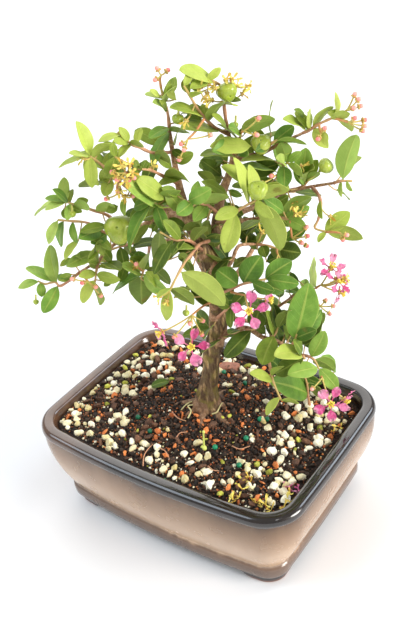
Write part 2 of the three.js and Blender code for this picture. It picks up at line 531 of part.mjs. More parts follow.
function leafSolid(blade, clearance) {
  const small = blade.tip.distanceTo(blade.base) < SMALL_LEAF_LENGTH;
  const stations = small ? SMALL_LEAF_STATIONS : LEAF_STATIONS;
  return toSolid(bladeGeometry(blade, leafOutline, stations, clearance));
}

// A bare solid with the same solid grown by the seat gap, which cuts its neighbours.
function withClearance(make) {
  return { bare: make(0), grown: make(SEAT_GAP) };
}

function rounded(halfLength, halfWidth, radius) {
  const points = [];
  const cornerSteps = 5;
  const sideSteps = 4;
  const quarters = [[1, 1, 0], [-1, 1, 1], [-1, -1, 2], [1, -1, 3]];
  for (const [signX, signY, quarter] of quarters) {
    for (let step = 0; step <= cornerSteps; step += 1) {
      const turn = ((quarter + step / cornerSteps) * Math.PI) / 2;
      points.push([signX * (halfLength - radius) + radius * Math.cos(turn),
        signY * (halfWidth - radius) + radius * Math.sin(turn)]);
    }
    const alongX = quarter % 2 === 0;
    for (let step = 1; step < sideSteps; step += 1) {
      const part = 1 - (2 * step) / sideSteps;
      points.push(alongX
        ? [signX * (halfLength - radius) * part, signY * halfWidth]
        : [signX * halfLength, signY * (halfWidth - radius) * part]);
    }
  }
  return points.map(([x, y]) => [
    x * (1 - SHORT_SIDE_BOW * (y / halfWidth) ** 2),
    y * (1 - LONG_SIDE_BOW * (x / halfLength) ** 2),
  ]);
}

// A closed body through level rounded outlines: rows of half length, half width, radius, height.
function loftGeometry(levels) {
  const rings = levels.map(([halfLength, halfWidth, radius, height]) => (
    rounded(halfLength, halfWidth, radius).map(([x, y]) => new THREE.Vector3(x, y, height))));
  const bottom = new THREE.Vector3(0, 0, levels[0][3]);
  const top = new THREE.Vector3(0, 0, levels[levels.length - 1][3]);
  return sweepGeometry(bottom, rings, top);
}

// The pot's hollow, drawn in by a clearance: its rounded outline at a height.
function hollowOutline(height, clearance) {
  const rise = Math.min((height - FLOOR_TOP) / (POT_HEIGHT - FLOOR_TOP), 1);
  const inset = RIM_WIDTH + clearance + FLOOR_INSET * (1 - rise) ** HOLLOW_ROUNDNESS;
  const radius = RIM_CORNER_RADIUS - RIM_WIDTH - FLOOR_CORNER_TIGHTENING * (1 - rise);
  return [POT_HALF_LENGTH - inset, POT_HALF_WIDTH - inset, radius];
}

const hollowLevel = (height, clearance = 0) => [...hollowOutline(height, clearance), height];

// The outside of the wall, which swells from the groove above the base band up to the rim.
function wallLevel(height) {
  const groove = BASE_BAND_TOP + BAND_STEP;
  const rise = (height - groove) / (POT_HEIGHT - RIM_BAND_HEIGHT - groove);
  const swell = 1 - (1 - Math.min(rise / BELLY_HEIGHT_SHARE, 1)) ** BELLY_ROUNDNESS;
  const between = (low, high) => low - BAND_STEP + (high - RIM_OVERHANG - low + BAND_STEP) * swell;
  return [between(BASE_HALF_LENGTH, POT_HALF_LENGTH), between(BASE_HALF_WIDTH, POT_HALF_WIDTH),
    BASE_CORNER_RADIUS + (RIM_CORNER_RADIUS - RIM_OVERHANG - BASE_CORNER_RADIUS) * swell, height];
}

function archGeometry(halfSpan, reach) {
  const outline = new THREE.Shape();
  outline.moveTo(-halfSpan, -1);
  outline.lineTo(halfSpan, -1);
  outline.lineTo(halfSpan, FOOT_ARCH_HEIGHT - ARCH_CORNER_RADIUS);
  outline.quadraticCurveTo(halfSpan, FOOT_ARCH_HEIGHT,
    halfSpan - ARCH_CORNER_RADIUS, FOOT_ARCH_HEIGHT);
  outline.lineTo(-halfSpan + ARCH_CORNER_RADIUS, FOOT_ARCH_HEIGHT);
  outline.quadraticCurveTo(-halfSpan, FOOT_ARCH_HEIGHT,
    -halfSpan, FOOT_ARCH_HEIGHT - ARCH_CORNER_RADIUS);
  outline.closePath();
  const geometry = new THREE.ExtrudeGeometry(outline,
    { depth: 2 * reach, bevelEnabled: false, curveSegments: 3 });
  geometry.translate(0, 0, -reach);
  geometry.rotateX(Math.PI / 2);
  return geometry;
}

function makePot() {
  const rimBottom = POT_HEIGHT - RIM_BAND_HEIGHT;
  const groove = BASE_BAND_TOP + BAND_STEP;
  const wall = toSolid(loftGeometry([
    [BASE_HALF_LENGTH, BASE_HALF_WIDTH, BASE_CORNER_RADIUS, BASE_BAND_BOTTOM - BAND_STEP],
    [BASE_HALF_LENGTH, BASE_HALF_WIDTH, BASE_CORNER_RADIUS, BASE_BAND_TOP],
    ...[groove, ...WALL_HEIGHTS, rimBottom - RIM_OVERHANG].map(wallLevel),
    [POT_HALF_LENGTH, POT_HALF_WIDTH, RIM_CORNER_RADIUS, rimBottom],
    [POT_HALF_LENGTH, POT_HALF_WIDTH, RIM_CORNER_RADIUS, POT_HEIGHT - RIM_ROUNDING],
    [POT_HALF_LENGTH - RIM_ROUNDING, POT_HALF_WIDTH - RIM_ROUNDING,
      RIM_CORNER_RADIUS - RIM_ROUNDING, POT_HEIGHT],
  ]));
  const footHalfLength = BASE_HALF_LENGTH - FOOT_INSET;
  const footHalfWidth = BASE_HALF_WIDTH - FOOT_INSET;
  const footRing = toSolid(loftGeometry([
    [footHalfLength, footHalfWidth, FOOT_CORNER_RADIUS, 0],
    [footHalfLength, footHalfWidth, FOOT_CORNER_RADIUS, BASE_BAND_BOTTOM],
  ]));
  const innerFoot = [footHalfLength - FOOT_RING_WIDTH, footHalfWidth - FOOT_RING_WIDTH,
    FOOT_CORNER_RADIUS / 2];
  const underside = toSolid(loftGeometry([
    [...innerFoot, -1],
    [...innerFoot, FOOT_ARCH_HEIGHT + UNDERSIDE_RECESS],
  ]));
  const longArch = toSolid(archGeometry(footHalfLength - FOOT_LENGTH, POT_HALF_WIDTH));
  const shortArch = toSolid(archGeometry(footHalfWidth - FOOT_LENGTH, POT_HALF_LENGTH)
    .rotateZ(Math.PI / 2));
  const hollow = toSolid(loftGeometry([
    [...hollowOutline(FLOOR_TOP, FLOOR_ROUNDING), FLOOR_TOP],
    ...[...HOLLOW_HEIGHTS, SOIL_EDGE_HEIGHT, POT_HEIGHT - 1].map((height) => hollowLevel(height)),
    hollowLevel(POT_HEIGHT + 1),
  ]));
  const drains = [-DRAIN_HOLE_X, DRAIN_HOLE_X].map((x) => {
    const depth = 2 * FLOOR_TOP;
    const drill = new THREE.CylinderGeometry(DRAIN_HOLE_RADIUS, DRAIN_HOLE_RADIUS, depth, 20);
    return toSolid(drill.rotateX(Math.PI / 2).translate(x, 0, FLOOR_TOP));
  });
  return cutBy(wall.add(footRing), [underside, longArch, shortArch, hollow, ...drains]);
}

// The height of the soil's surface: level at the wall and mounded up around the trunk.
function soilHeight(x, y) {
  const spread = Math.hypot((x - TRUNK_FOOT.x) / SOIL_MOUND_HALF_LENGTH,
    (y - TRUNK_FOOT.y) / SOIL_MOUND_HALF_WIDTH);
  return SOIL_EDGE_HEIGHT + SOIL_MOUND_RISE * Math.exp(-SOIL_MOUND_STEEPNESS * spread * spread);
}

// The place on the soil's surface that is seen at a column and row.
function onSoil(column, row) {
  const look = lookAlong(column, row);
  const place = TRUNK_FOOT.clone();
  for (let step = 0; step < 8; step += 1) {
    const height = soilHeight(place.x, place.y);
    place.copy(eye).addScaledVector(look, (height - eye.z) / look.z);
  }
  return place;
}

// The block of soil inside the pot, with rings of points that close in over its mounded top.
function soilBlock(clearance) {
  const level = (height, inset) => (
    rounded(...hollowOutline(height, inset)).map(([x, y]) => new THREE.Vector3(x, y, height)));
  const bottom = level(FLOOR_TOP, FLOOR_ROUNDING + clearance);
  bottom.forEach((point) => point.setZ(FLOOR_TOP + clearance));
  const sides = [...HOLLOW_HEIGHTS, SOIL_EDGE_HEIGHT].map((height) => level(height, clearance));
  const edge = sides[sides.length - 1];
  const top = SOIL_RING_SHARES.map((share) => edge.map((point) => {
    const x = TRUNK_FOOT.x + (point.x - TRUNK_FOOT.x) * share;
    const y = TRUNK_FOOT.y + (point.y - TRUNK_FOOT.y) * share;
    return new THREE.Vector3(x, y, soilHeight(x, y));
  }));
  const peak = new THREE.Vector3(TRUNK_FOOT.x, TRUNK_FOOT.y, soilHeight(TRUNK_FOOT.x, TRUNK_FOOT.y));
  const middle = new THREE.Vector3(0, 0, FLOOR_TOP + clearance);
  return toSolid(sweepGeometry(middle, [bottom, ...sides, ...top], peak));
}

// A drain hole's screen: a thin square plate with three slots.
function screenSolid(x, clearance) {
  const size = SCREEN_SIZE + 2 * clearance;
  const bottom = FLOOR_TOP + SEAT_GAP - clearance;
  const thickness = SCREEN_THICKNESS + 2 * clearance;
  const plate = toSolid(new THREE.BoxGeometry(size, size, thickness)
    .translate(x, 0, bottom + thickness / 2));
  if (clearance > 0) {
    return plate;
  }
  const slots = [-1, 0, 1].map((slot) => (
    toSolid(new THREE.BoxGeometry(SCREEN_SLOT, SCREEN_SIZE - 2 * SCREEN_SLOT, 3 * thickness)
      .translate(x + slot * SCREEN_PITCH, 0, bottom))));
  return cutBy(plate, slots);
}

function limbSolid(rows, clearance) {
  const points = rows.map(([column, row, towards]) => sight([column, row, towards]));
  const radii = rows.map(([, , , radius]) => radius + clearance);
  const sides = radii[0] > THICK_LIMB_RADIUS ? THICK_LIMB_SIDES : LIMB_SIDES;
  return toSolid(barGeometry(points, radii, sides));
}

function rootSolid([direction, length, radius], clearance) {
  const turn = THREE.MathUtils.degToRad(direction);
  const points = ROOT_SHARES.map((share, index) => {
    const bend = ROOT_BEND * share * share;
    const x = TRUNK_FOOT.x + length * share * Math.cos(turn + bend);
    const y = TRUNK_FOOT.y + length * share * Math.sin(turn + bend);
    return new THREE.Vector3(x, y, soilHeight(x, y) - ROOT_DEPTHS[index]);
  });
  const radii = ROOT_SHARES.map((share) => radius * (1 - ROOT_TAPER * share) + clearance);
  return toSolid(barGeometry(points, radii, LIMB_SIDES));
}

function stumpSolid(clearance) {
  const foot = sight(STUMP_TOP);
  const points = STUMP_HEIGHTS.map((height) => new THREE.Vector3(foot.x, foot.y, foot.z + height));
  const radii = STUMP_RADII.map((radius) => radius + clearance);
  return toSolid(barGeometry(points, radii, THICK_LIMB_SIDES));
}

function makeTrunk(clearance) {
  return joined([
    ...LIMBS.map(([, rows]) => limbSolid(rows, clearance)),
    ...ROOTS.map((root) => rootSolid(root, clearance)),
    stumpSolid(clearance),
  ]);
}

function twigSolid(points, clearance) {
  const last = points.length - 1;
  const radii = points.map((_, index) => (
    TWIG_START_RADIUS + (TWIG_END_RADIUS - TWIG_START_RADIUS) * (index / last) + clearance));
  return toSolid(barGeometry(points, radii, TWIG_SIDES));
}

// An open flower: five clawed petals round a yellow centre.
function flowerSolids(centre, stalkFoot, turnDegrees, facing, clearance) {
  const outward = centre.clone().sub(stalkFoot).normalize();
  const view = eye.clone().sub(centre).normalize();
  const axis = outward.multiplyScalar(1 - facing).addScaledVector(view, facing).normalize();
  const reference = new THREE.Vector3().crossVectors(viewUp, axis).normalize();
  const upward = new THREE.Vector3().crossVectors(axis, reference);
  const solids = [];
  for (let petal = 0; petal < 5; petal += 1) {
    const turn = THREE.MathUtils.degToRad(turnDegrees + petal * 72);
    const spread = reference.clone().multiplyScalar(Math.cos(turn))
      .addScaledVector(upward, Math.sin(turn));
    const side = new THREE.Vector3().crossVectors(axis, spread);
    const tip = centre.clone().addScaledVector(spread, PETAL_LENGTH)
      .addScaledVector(axis, PETAL_TIP_RISE);
    const blade = { base: centre, tip, side, normal: axis.clone(), width: PETAL_WIDTH,
      thickness: PETAL_THICKNESS, arch: PETAL_ARCH, fold: PETAL_FOLD };
    solids.push(toSolid(bladeGeometry(blade, petalOutline, PETAL_STATIONS, clearance)));
  }
  const heart = new THREE.IcosahedronGeometry(HEART_RADIUS + clearance, 0)
    .translate(centre.x + axis.x, centre.y + axis.y, centre.z + axis.z);
  solids.push(toSolid(heart));
  return solids;
}

function flowerHeadSolid([, stalkRows, flowers, buds], clearance) {
  const stalk = stalkRows.map(sight);
  const fork = stalk[stalk.length - 1];
  const thin = STALK_RADIUS + clearance;
  const commonRadii = stalk.map(() => COMMON_STALK_RADIUS + clearance);
  const solids = [toSolid(barGeometry(stalk, commonRadii, TWIG_SIDES))];
  for (const [column, row, towards, turn, facing] of flowers) {
    const centre = sight([column, row, towards]);
    solids.push(toSolid(barGeometry([fork, centre], [thin, thin], STALK_SIDES)));
    solids.push(...flowerSolids(centre, fork, turn, facing, clearance));
  }
  for (const place of buds) {
    const centre = sight(place);
    solids.push(toSolid(barGeometry([fork, centre], [thin, thin], STALK_SIDES)));
    solids.push(toSolid(new THREE.IcosahedronGeometry(BUD_RADIUS + clearance, 0)
      .translate(centre.x, centre.y, centre.z)));
  }
  return joined(solids);
}

// A three-lobed fruit with shallow furrows, on its stalk.
function fruitSolid([, middle, radius, stalkPlace], clearance) {
  const geometry = new THREE.SphereGeometry(1, 9, 6);
  const position = geometry.attributes.position;
  const point = new THREE.Vector3();
  for (let index = 0; index < position.count; index += 1) {
    point.fromBufferAttribute(position, index);
    const belt = Math.hypot(point.x, point.z);
    const lobes = 1 + FRUIT_LOBE_RISE * Math.cos(3 * Math.atan2(point.z, point.x)) * belt;
    const height = FRUIT_HEIGHT_SHARE * (1 - FRUIT_END_DENT * Math.abs(point.y) ** 4);
    position.setXYZ(index, point.x * lobes, point.y * height, point.z * lobes);
  }
  const size = radius + clearance;
  const centre = sight(middle);
  geometry.scale(size, size, size).rotateX(Math.PI / 2).translate(centre.x, centre.y, centre.z);
  const thin = COMMON_STALK_RADIUS + clearance;
  const stalk = toSolid(barGeometry([sight(stalkPlace), centre], [thin, thin], TWIG_SIDES));
  return toSolid(geometry).add(stalk);
}

// A thick flake of bark, half bedded in the mound beside the trunk.
function barkChipSolid(clearance) {
  const { column, row, length, width, thickness, rise, tilt, turn } = BARK_CHIP;
  const place = onSoil(column, row);
  const outline = new THREE.Shape(BARK_CHIP_OUTLINE.map(([x, y]) => (
    new THREE.Vector2(x * (length + 2 * clearance), y * (width + 2 * clearance)))));
  const depth = thickness + 2 * clearance;
  const geometry = new THREE.ExtrudeGeometry(outline, { depth, bevelEnabled: false });
  geometry.translate(0, 0, -depth / 2).rotateX(THREE.MathUtils.degToRad(tilt));
  geometry.rotateZ(THREE.MathUtils.degToRad(turn));
  return toSolid(geometry.translate(place.x, place.y, place.z + rise));
}

function material(colour, roughness, metalness = 0) {
  return new THREE.MeshStandardMaterial({ color: colour, roughness, metalness });
}

const plant = new THREE.Group();

function addNode(name, solid, look) {
  const mesh = new THREE.Mesh(toGeometry(largestPiece(solid)), look);
  mesh.name = name;
  plant.add(mesh);
}

const glaze = material(0xa98563, 0.25);
const earth = material(0x4a3527, 0.95);
const bark = material(0x8a6f4d, 0.9);
const screenPlastic = material(0x23262a, 0.6);
const leafGreen = material(0x5f8a33, 0.45);
const petalPink = material(0xf07fae, 0.6);
const fruitGreen = material(0x7fa63a, 0.3);
const chipBark = material(0x9a6a55, 0.85);

const trunk = withClearance(makeTrunk);
const chip = withClearance(barkChipSolid);
const screens = [-DRAIN_HOLE_X, DRAIN_HOLE_X].map((x) => (
  withClearance((clearance) => screenSolid(x, clearance))));
const twigs = SHOOTS.map(([, rows]) => {
  const points = rows.map(sight);
  return { points, ...withClearance((clearance) => twigSolid(points, clearance)) };
});
const heads = FLOWER_HEADS.map((head) => withClearance((clearance) => flowerHeadSolid(head, clearance)));
const fruits = FRUITS.map((fruit) => withClearance((clearance) => fruitSolid(fruit, clearance)));
const sucker = twigs[SHOOTS.findIndex(([name]) => name === "sucker")];

addNode("pot", makePot(), glaze);
addNode("soil", cutBy(soilBlock(SEAT_GAP),
  [trunk.grown, chip.grown, sucker.grown, ...screens.map(({ grown }) => grown)]), earth);
addNode("trunk", trunk.bare, bark);
addNode("bark_chip", cutBy(chip.bare, [trunk.grown]), chipBark);
screens.forEach(({ bare }, index) => addNode(`drain_screen_${index + 1}`, bare, screenPlastic));

const grownTwigs = twigs.map(({ grown }) => grown);
const placedFruit = [];
fruits.forEach(({ bare, grown }, index) => {
  const solid = cutBy(bare, [trunk.grown, ...grownTwigs, ...placedFruit]);
  addNode(`fruit_${FRUITS[index][0]}`, solid, fruitGreen);
  placedFruit.push(grown);
});
heads.forEach(({ bare, grown }, index) => {
  const solid = cutBy(bare, [trunk.grown, ...grownTwigs, ...placedFruit]);
  addNode(`flowers_${FLOWER_HEADS[index][0]}`, solid, petalPink);
  placedFruit.push(grown);
});

// Each shoot's leaves keep clear of all that is placed before them.
const placedLeaves = [];
SHOOTS.forEach(([name, , leafRows], index) => {
  const otherTwigs = grownTwigs.filter((_, other) => other !== index);
  const blades = leafRows.map((row) => leafBlade(twigs[index].points, row));
  const cutters = [trunk.grown, ...otherTwigs, ...placedFruit, ...placedLeaves];
  const leaves = blades.map((blade) => cutBy(leafSolid(blade, 0), cutters));
  const twig = cutBy(twigs[index].bare, [trunk.grown, ...grownTwigs.slice(0, index)]);
  addNode(`shoot_${name}`, joined([twig, ...leaves]), leafGreen);
  placedLeaves.push(joined(blades.map((blade) => leafSolid(blade, SEAT_GAP))));
});

export default plant;
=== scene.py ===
import math

import bmesh
import bpy
import numpy as np
from mathutils import Matrix, Vector, noise
from mathutils.kdtree import KDTree


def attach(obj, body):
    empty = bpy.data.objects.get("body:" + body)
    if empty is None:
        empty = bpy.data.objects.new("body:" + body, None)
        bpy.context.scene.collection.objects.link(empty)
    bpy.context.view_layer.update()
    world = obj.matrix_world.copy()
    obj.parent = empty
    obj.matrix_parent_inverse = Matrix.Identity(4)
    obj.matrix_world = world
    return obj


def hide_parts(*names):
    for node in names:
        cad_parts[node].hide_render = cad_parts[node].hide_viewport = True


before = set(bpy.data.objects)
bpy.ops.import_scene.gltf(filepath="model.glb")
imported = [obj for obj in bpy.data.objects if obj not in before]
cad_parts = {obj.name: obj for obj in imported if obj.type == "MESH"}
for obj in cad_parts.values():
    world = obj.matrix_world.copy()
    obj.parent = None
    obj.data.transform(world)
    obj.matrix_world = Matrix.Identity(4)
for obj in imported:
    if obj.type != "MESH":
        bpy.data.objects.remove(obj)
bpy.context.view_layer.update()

# Lengths are in millimetres, in the part's own frame: the origin is on the table under the pot's
# middle, X runs along the pot's long side, Y along its short side and Z is up.
MM = 0.001

# The pot. Its rim is 1.3 wider towards the inside than in the CAD, as the photo shows it.
POT_HALF_LENGTH = 100
POT_HALF_WIDTH = 73.6
POT_HEIGHT = 69.6
RIM_WIDTH = 10.8
RIM_BAND_HEIGHT = 5.4
RIM_OVERHANG = 0.8
RIM_CORNER_RADIUS = 23
BASE_HALF_LENGTH = 86.9
BASE_HALF_WIDTH = 64.2
BASE_CORNER_RADIUS = 13
BASE_BAND_BOTTOM = 9.3
BASE_BAND_TOP = 16.4
BAND_STEP = 1.1
BELLY_HEIGHT_SHARE = 0.85
BELLY_ROUNDNESS = 1.75
FOOT_INSET = 3.5
FOOT_RING_WIDTH = 9
FOOT_ARCH_HEIGHT = 7.4
FOOT_LENGTH = 24
FOOT_END_LENGTH = 13
FOOT_CORNER_RADIUS = 11
UNDERSIDE_HEIGHT = 8.4
LONG_SIDE_BOW = 0.087
SHORT_SIDE_BOW = 0.013
FLOOR_TOP = 15.5
FLOOR_INSET = 9.5
HOLLOW_ROUNDNESS = 1.6
DRAIN_HOLE_RADIUS = 7
DRAIN_HOLE_X = 45
# Between these two places along the pot, towards its left end, the glaze's bands sit higher and the rim is
# painted lighter, a painted sheen.
THIN_GLAZE_AND_SHEEN_FROM = -20
THIN_GLAZE_AND_SHEEN_TO = -85

# The soil, and how far its loose grains stay from the trunk.
SOIL_EDGE_HEIGHT = 63.8
SOIL_SLOPE = -0.016
SOIL_MOUND_RISE = 11.3
SOIL_MOUND_HALF_LENGTH = 62
SOIL_MOUND_HALF_WIDTH = 50
SOIL_MOUND_STEEPNESS = 1.6
SOIL_SIDE_HEIGHTS = [20, 28, 42]
SOIL_RINGS = 64
SOIL_BELOW_GRAINS = 0.6
SEAT_GAP = 0.3
TRUNK_CLEARANCE = 10.5
PALE_CRUMB_CLEARANCE = 26
GRAIN_CELL = 8.0
PELLET_RADIUS = 1.7
LITTER_LIFT = 1.6

# The plant. A limb's radius is slimmed by a share that depends on it, between the ones listed.
TRUNK_DEPTH_IN_SOIL = 24
STUMP_LEVELS = (2, -6, -14, -TRUNK_DEPTH_IN_SOIL)
STUMP_RADII = (9.4, 9, 7.6, 6)
BARK_VOXEL = 0.62
SLIMMED_RADII = [1, 6, 6.6, 7.7, 9.5]
SLIMMED_SHARES = [0.8, 1, 0.8, 0.9, 1]
TWIG_START_RADIUS = 1.05
TWIG_END_RADIUS = 0.6
STALK_RADIUS = 0.5
THIN_STALK_RADIUS = 0.42
LEAF_WIDTH_TO_LENGTH = 0.5
LEAF_SHEET_THICKNESS = 0.3
LEAF_FULLNESS = 1.1
INNER_LEAF_COUNT = 110
INNER_LEAF_LOWEST = 120
INNER_LEAF_HIGHEST = 250
INNER_LEAF_STALKS = (3, 9)
INNER_LEAF_LENGTHS = (13, 22)
INNER_LEAF_WIDTH_SHARES = (0.45, 0.6)
INNER_LEAF_TONES = (0.1, 0.45)
LEAF_POINTEDNESS = (0.1, 0.6)
SIDEWAYS_FLOWER_SIZE = 0.8
PETAL_LENGTH = 11.2
PETAL_WIDTH = 7.4
PETAL_SHEET_THICKNESS = 0.2
BUD_RADIUS = 1.35
STAMEN_COUNT = 10
STAMEN_RADIUS = 0.2
STAMEN_HEIGHTS = (2.6, 3.4)
ANTHER_RADIUS = 0.62
GLAND_COUNT = 10
GLAND_RADIUS = 0.62
GLAND_SPREAD = 1.35
FRUIT_RINGS = 22
FRUIT_RING_POINTS = 36
BARK_PLATE_WIDTH = 1.9
BARK_PLATE_LENGTH = 6.5
BARK_LUMP_SIZE = 9.0
RADIUS_PER_BARK_THICKNESS = 6.0
BARK_THICKEST = 1.3
OLD_BARK_FROM_RADIUS = 3.6
YOUNG_BARK_SPAN = 1.6

# A place on the plant is written as the column and row at which a viewer sees it, in a frame of
# 416 by 624, with its distance in millimetres towards that viewer from the upright plane through
# the trunk. The viewer stands as these values say.
FRAME_HEIGHT = 624
VIEW_AZIMUTH, VIEW_ELEVATION, VIEW_ROLL = np.radians([38.16, 32.42, -7.54])
VIEW_DISTANCE = 725.7
VIEW_TARGET = np.array([-107.85, 154.25, 25])
VIEW_FOCAL = 819.3
VIEW_CENTRE_COLUMN = 208
VIEW_CENTRE_ROW = 312

# Single leaves beyond this column and this row are a full green, and the others are bright.
FULL_GREEN_FROM_COLUMN = 212
FULL_GREEN_FROM_ROW = 205
TRUNK_FOOT = np.array([3.8, -1.7, 76])

# Limbs that grew in one piece with the trunk: each row is column, row, towards, radius.
LIMBS = [
    ["trunk", [[207, 404, 0, 9.5], [208, 392, 0, 7.7], [210, 372, 0, 6.8], [213, 350, 0, 6.3],
      [218, 328, 0, 5.9], [218, 308, 0, 5.7], [215, 288, 0, 5.5], [212, 270, 0, 5.4],
      [206, 256, 0, 4.9], [196, 238, -2, 4.0], [187, 217, -3, 3.4], [181, 194, -4, 2.9],
      [176, 170, -6, 2.2], [172, 148, -8, 1.8], [169, 130, -8, 1.4]]],
    ["right_leader", [[211, 266, 0, 4.5], [215, 240, -6, 3.8], [218, 212, -9, 3.4],
      [223, 190, -10, 3.0], [229, 175, -12, 2.7], [233, 157, -12, 2.2], [229, 136, -10, 1.5],
      [226, 120, -9, 1.3]]],
    ["left_upper", [[183, 203, -3, 2.5], [163, 209, 9, 2.0], [149, 200, 15, 1.6],
      [130, 190, 15, 1.2], [112, 175, 9, 1.0]]],
    ["left_lower", [[187, 217, -3, 2.7], [165, 214, -12, 2.2], [147, 223, -18, 1.9],
      [116, 243, -18, 1.5], [100, 259, -12, 1.3], [80, 272, -6, 1.0]]],
    ["left_dark", [[204, 254, 0, 2.7], [186, 246, -14, 2.2], [170, 241, -22, 2.0],
      [150, 242, -30, 1.6], [134, 243, -36, 1.2]]],
    ["right_upper", [[232, 160, -12, 2.2], [256, 155, -8, 1.9], [270, 149, -3, 1.5],
      [286, 141, 3, 1.3], [303, 133, 9, 1.0]]],
    ["right_middle", [[217, 216, -9, 2.7], [238, 213, -21, 2.3], [258, 205, -24, 2.1],
      [273, 197, -20, 2.0], [288, 191, -12, 1.6], [315, 186, -3, 1.2], [334, 183, 4, 1.0]]],
    ["right_arch", [[212, 268, 0, 2.3], [229, 265, 9, 1.6], [236, 250, 12, 1.4],
      [241, 245, 10, 1.3], [256, 244, 3, 1.1]]],
    ["right_stub", [[217, 224, -8, 2.3], [247, 220, -8, 1.6], [262, 218, -6, 1.4],
      [276, 217, -3, 1.0]]],
    ["right_low", [[216, 340, 0, 3.1], [236, 331, 4, 2.2], [247, 328, 9, 1.9],
      [262, 337, 12, 1.7], [277, 341, 15, 1.5], [291, 350, 18, 1.3], [303, 355, 20, 1.0]]],
    ["right_centre", [[217, 314, 0, 2.7], [238, 319, -10, 1.9], [258, 321, -15, 1.5],
      [275, 309, -10, 1.4], [292, 297, -4, 1.0]]],
    ["back_left", [[215, 292, 0, 3.1], [200, 262, -26, 2.3], [184, 238, -42, 1.7],
      [170, 218, -50, 1.2]]],
    ["back_right", [[217, 304, 0, 3.1], [236, 276, -20, 2.3], [252, 250, -33, 1.8],
      [262, 226, -40, 1.2]]],
]

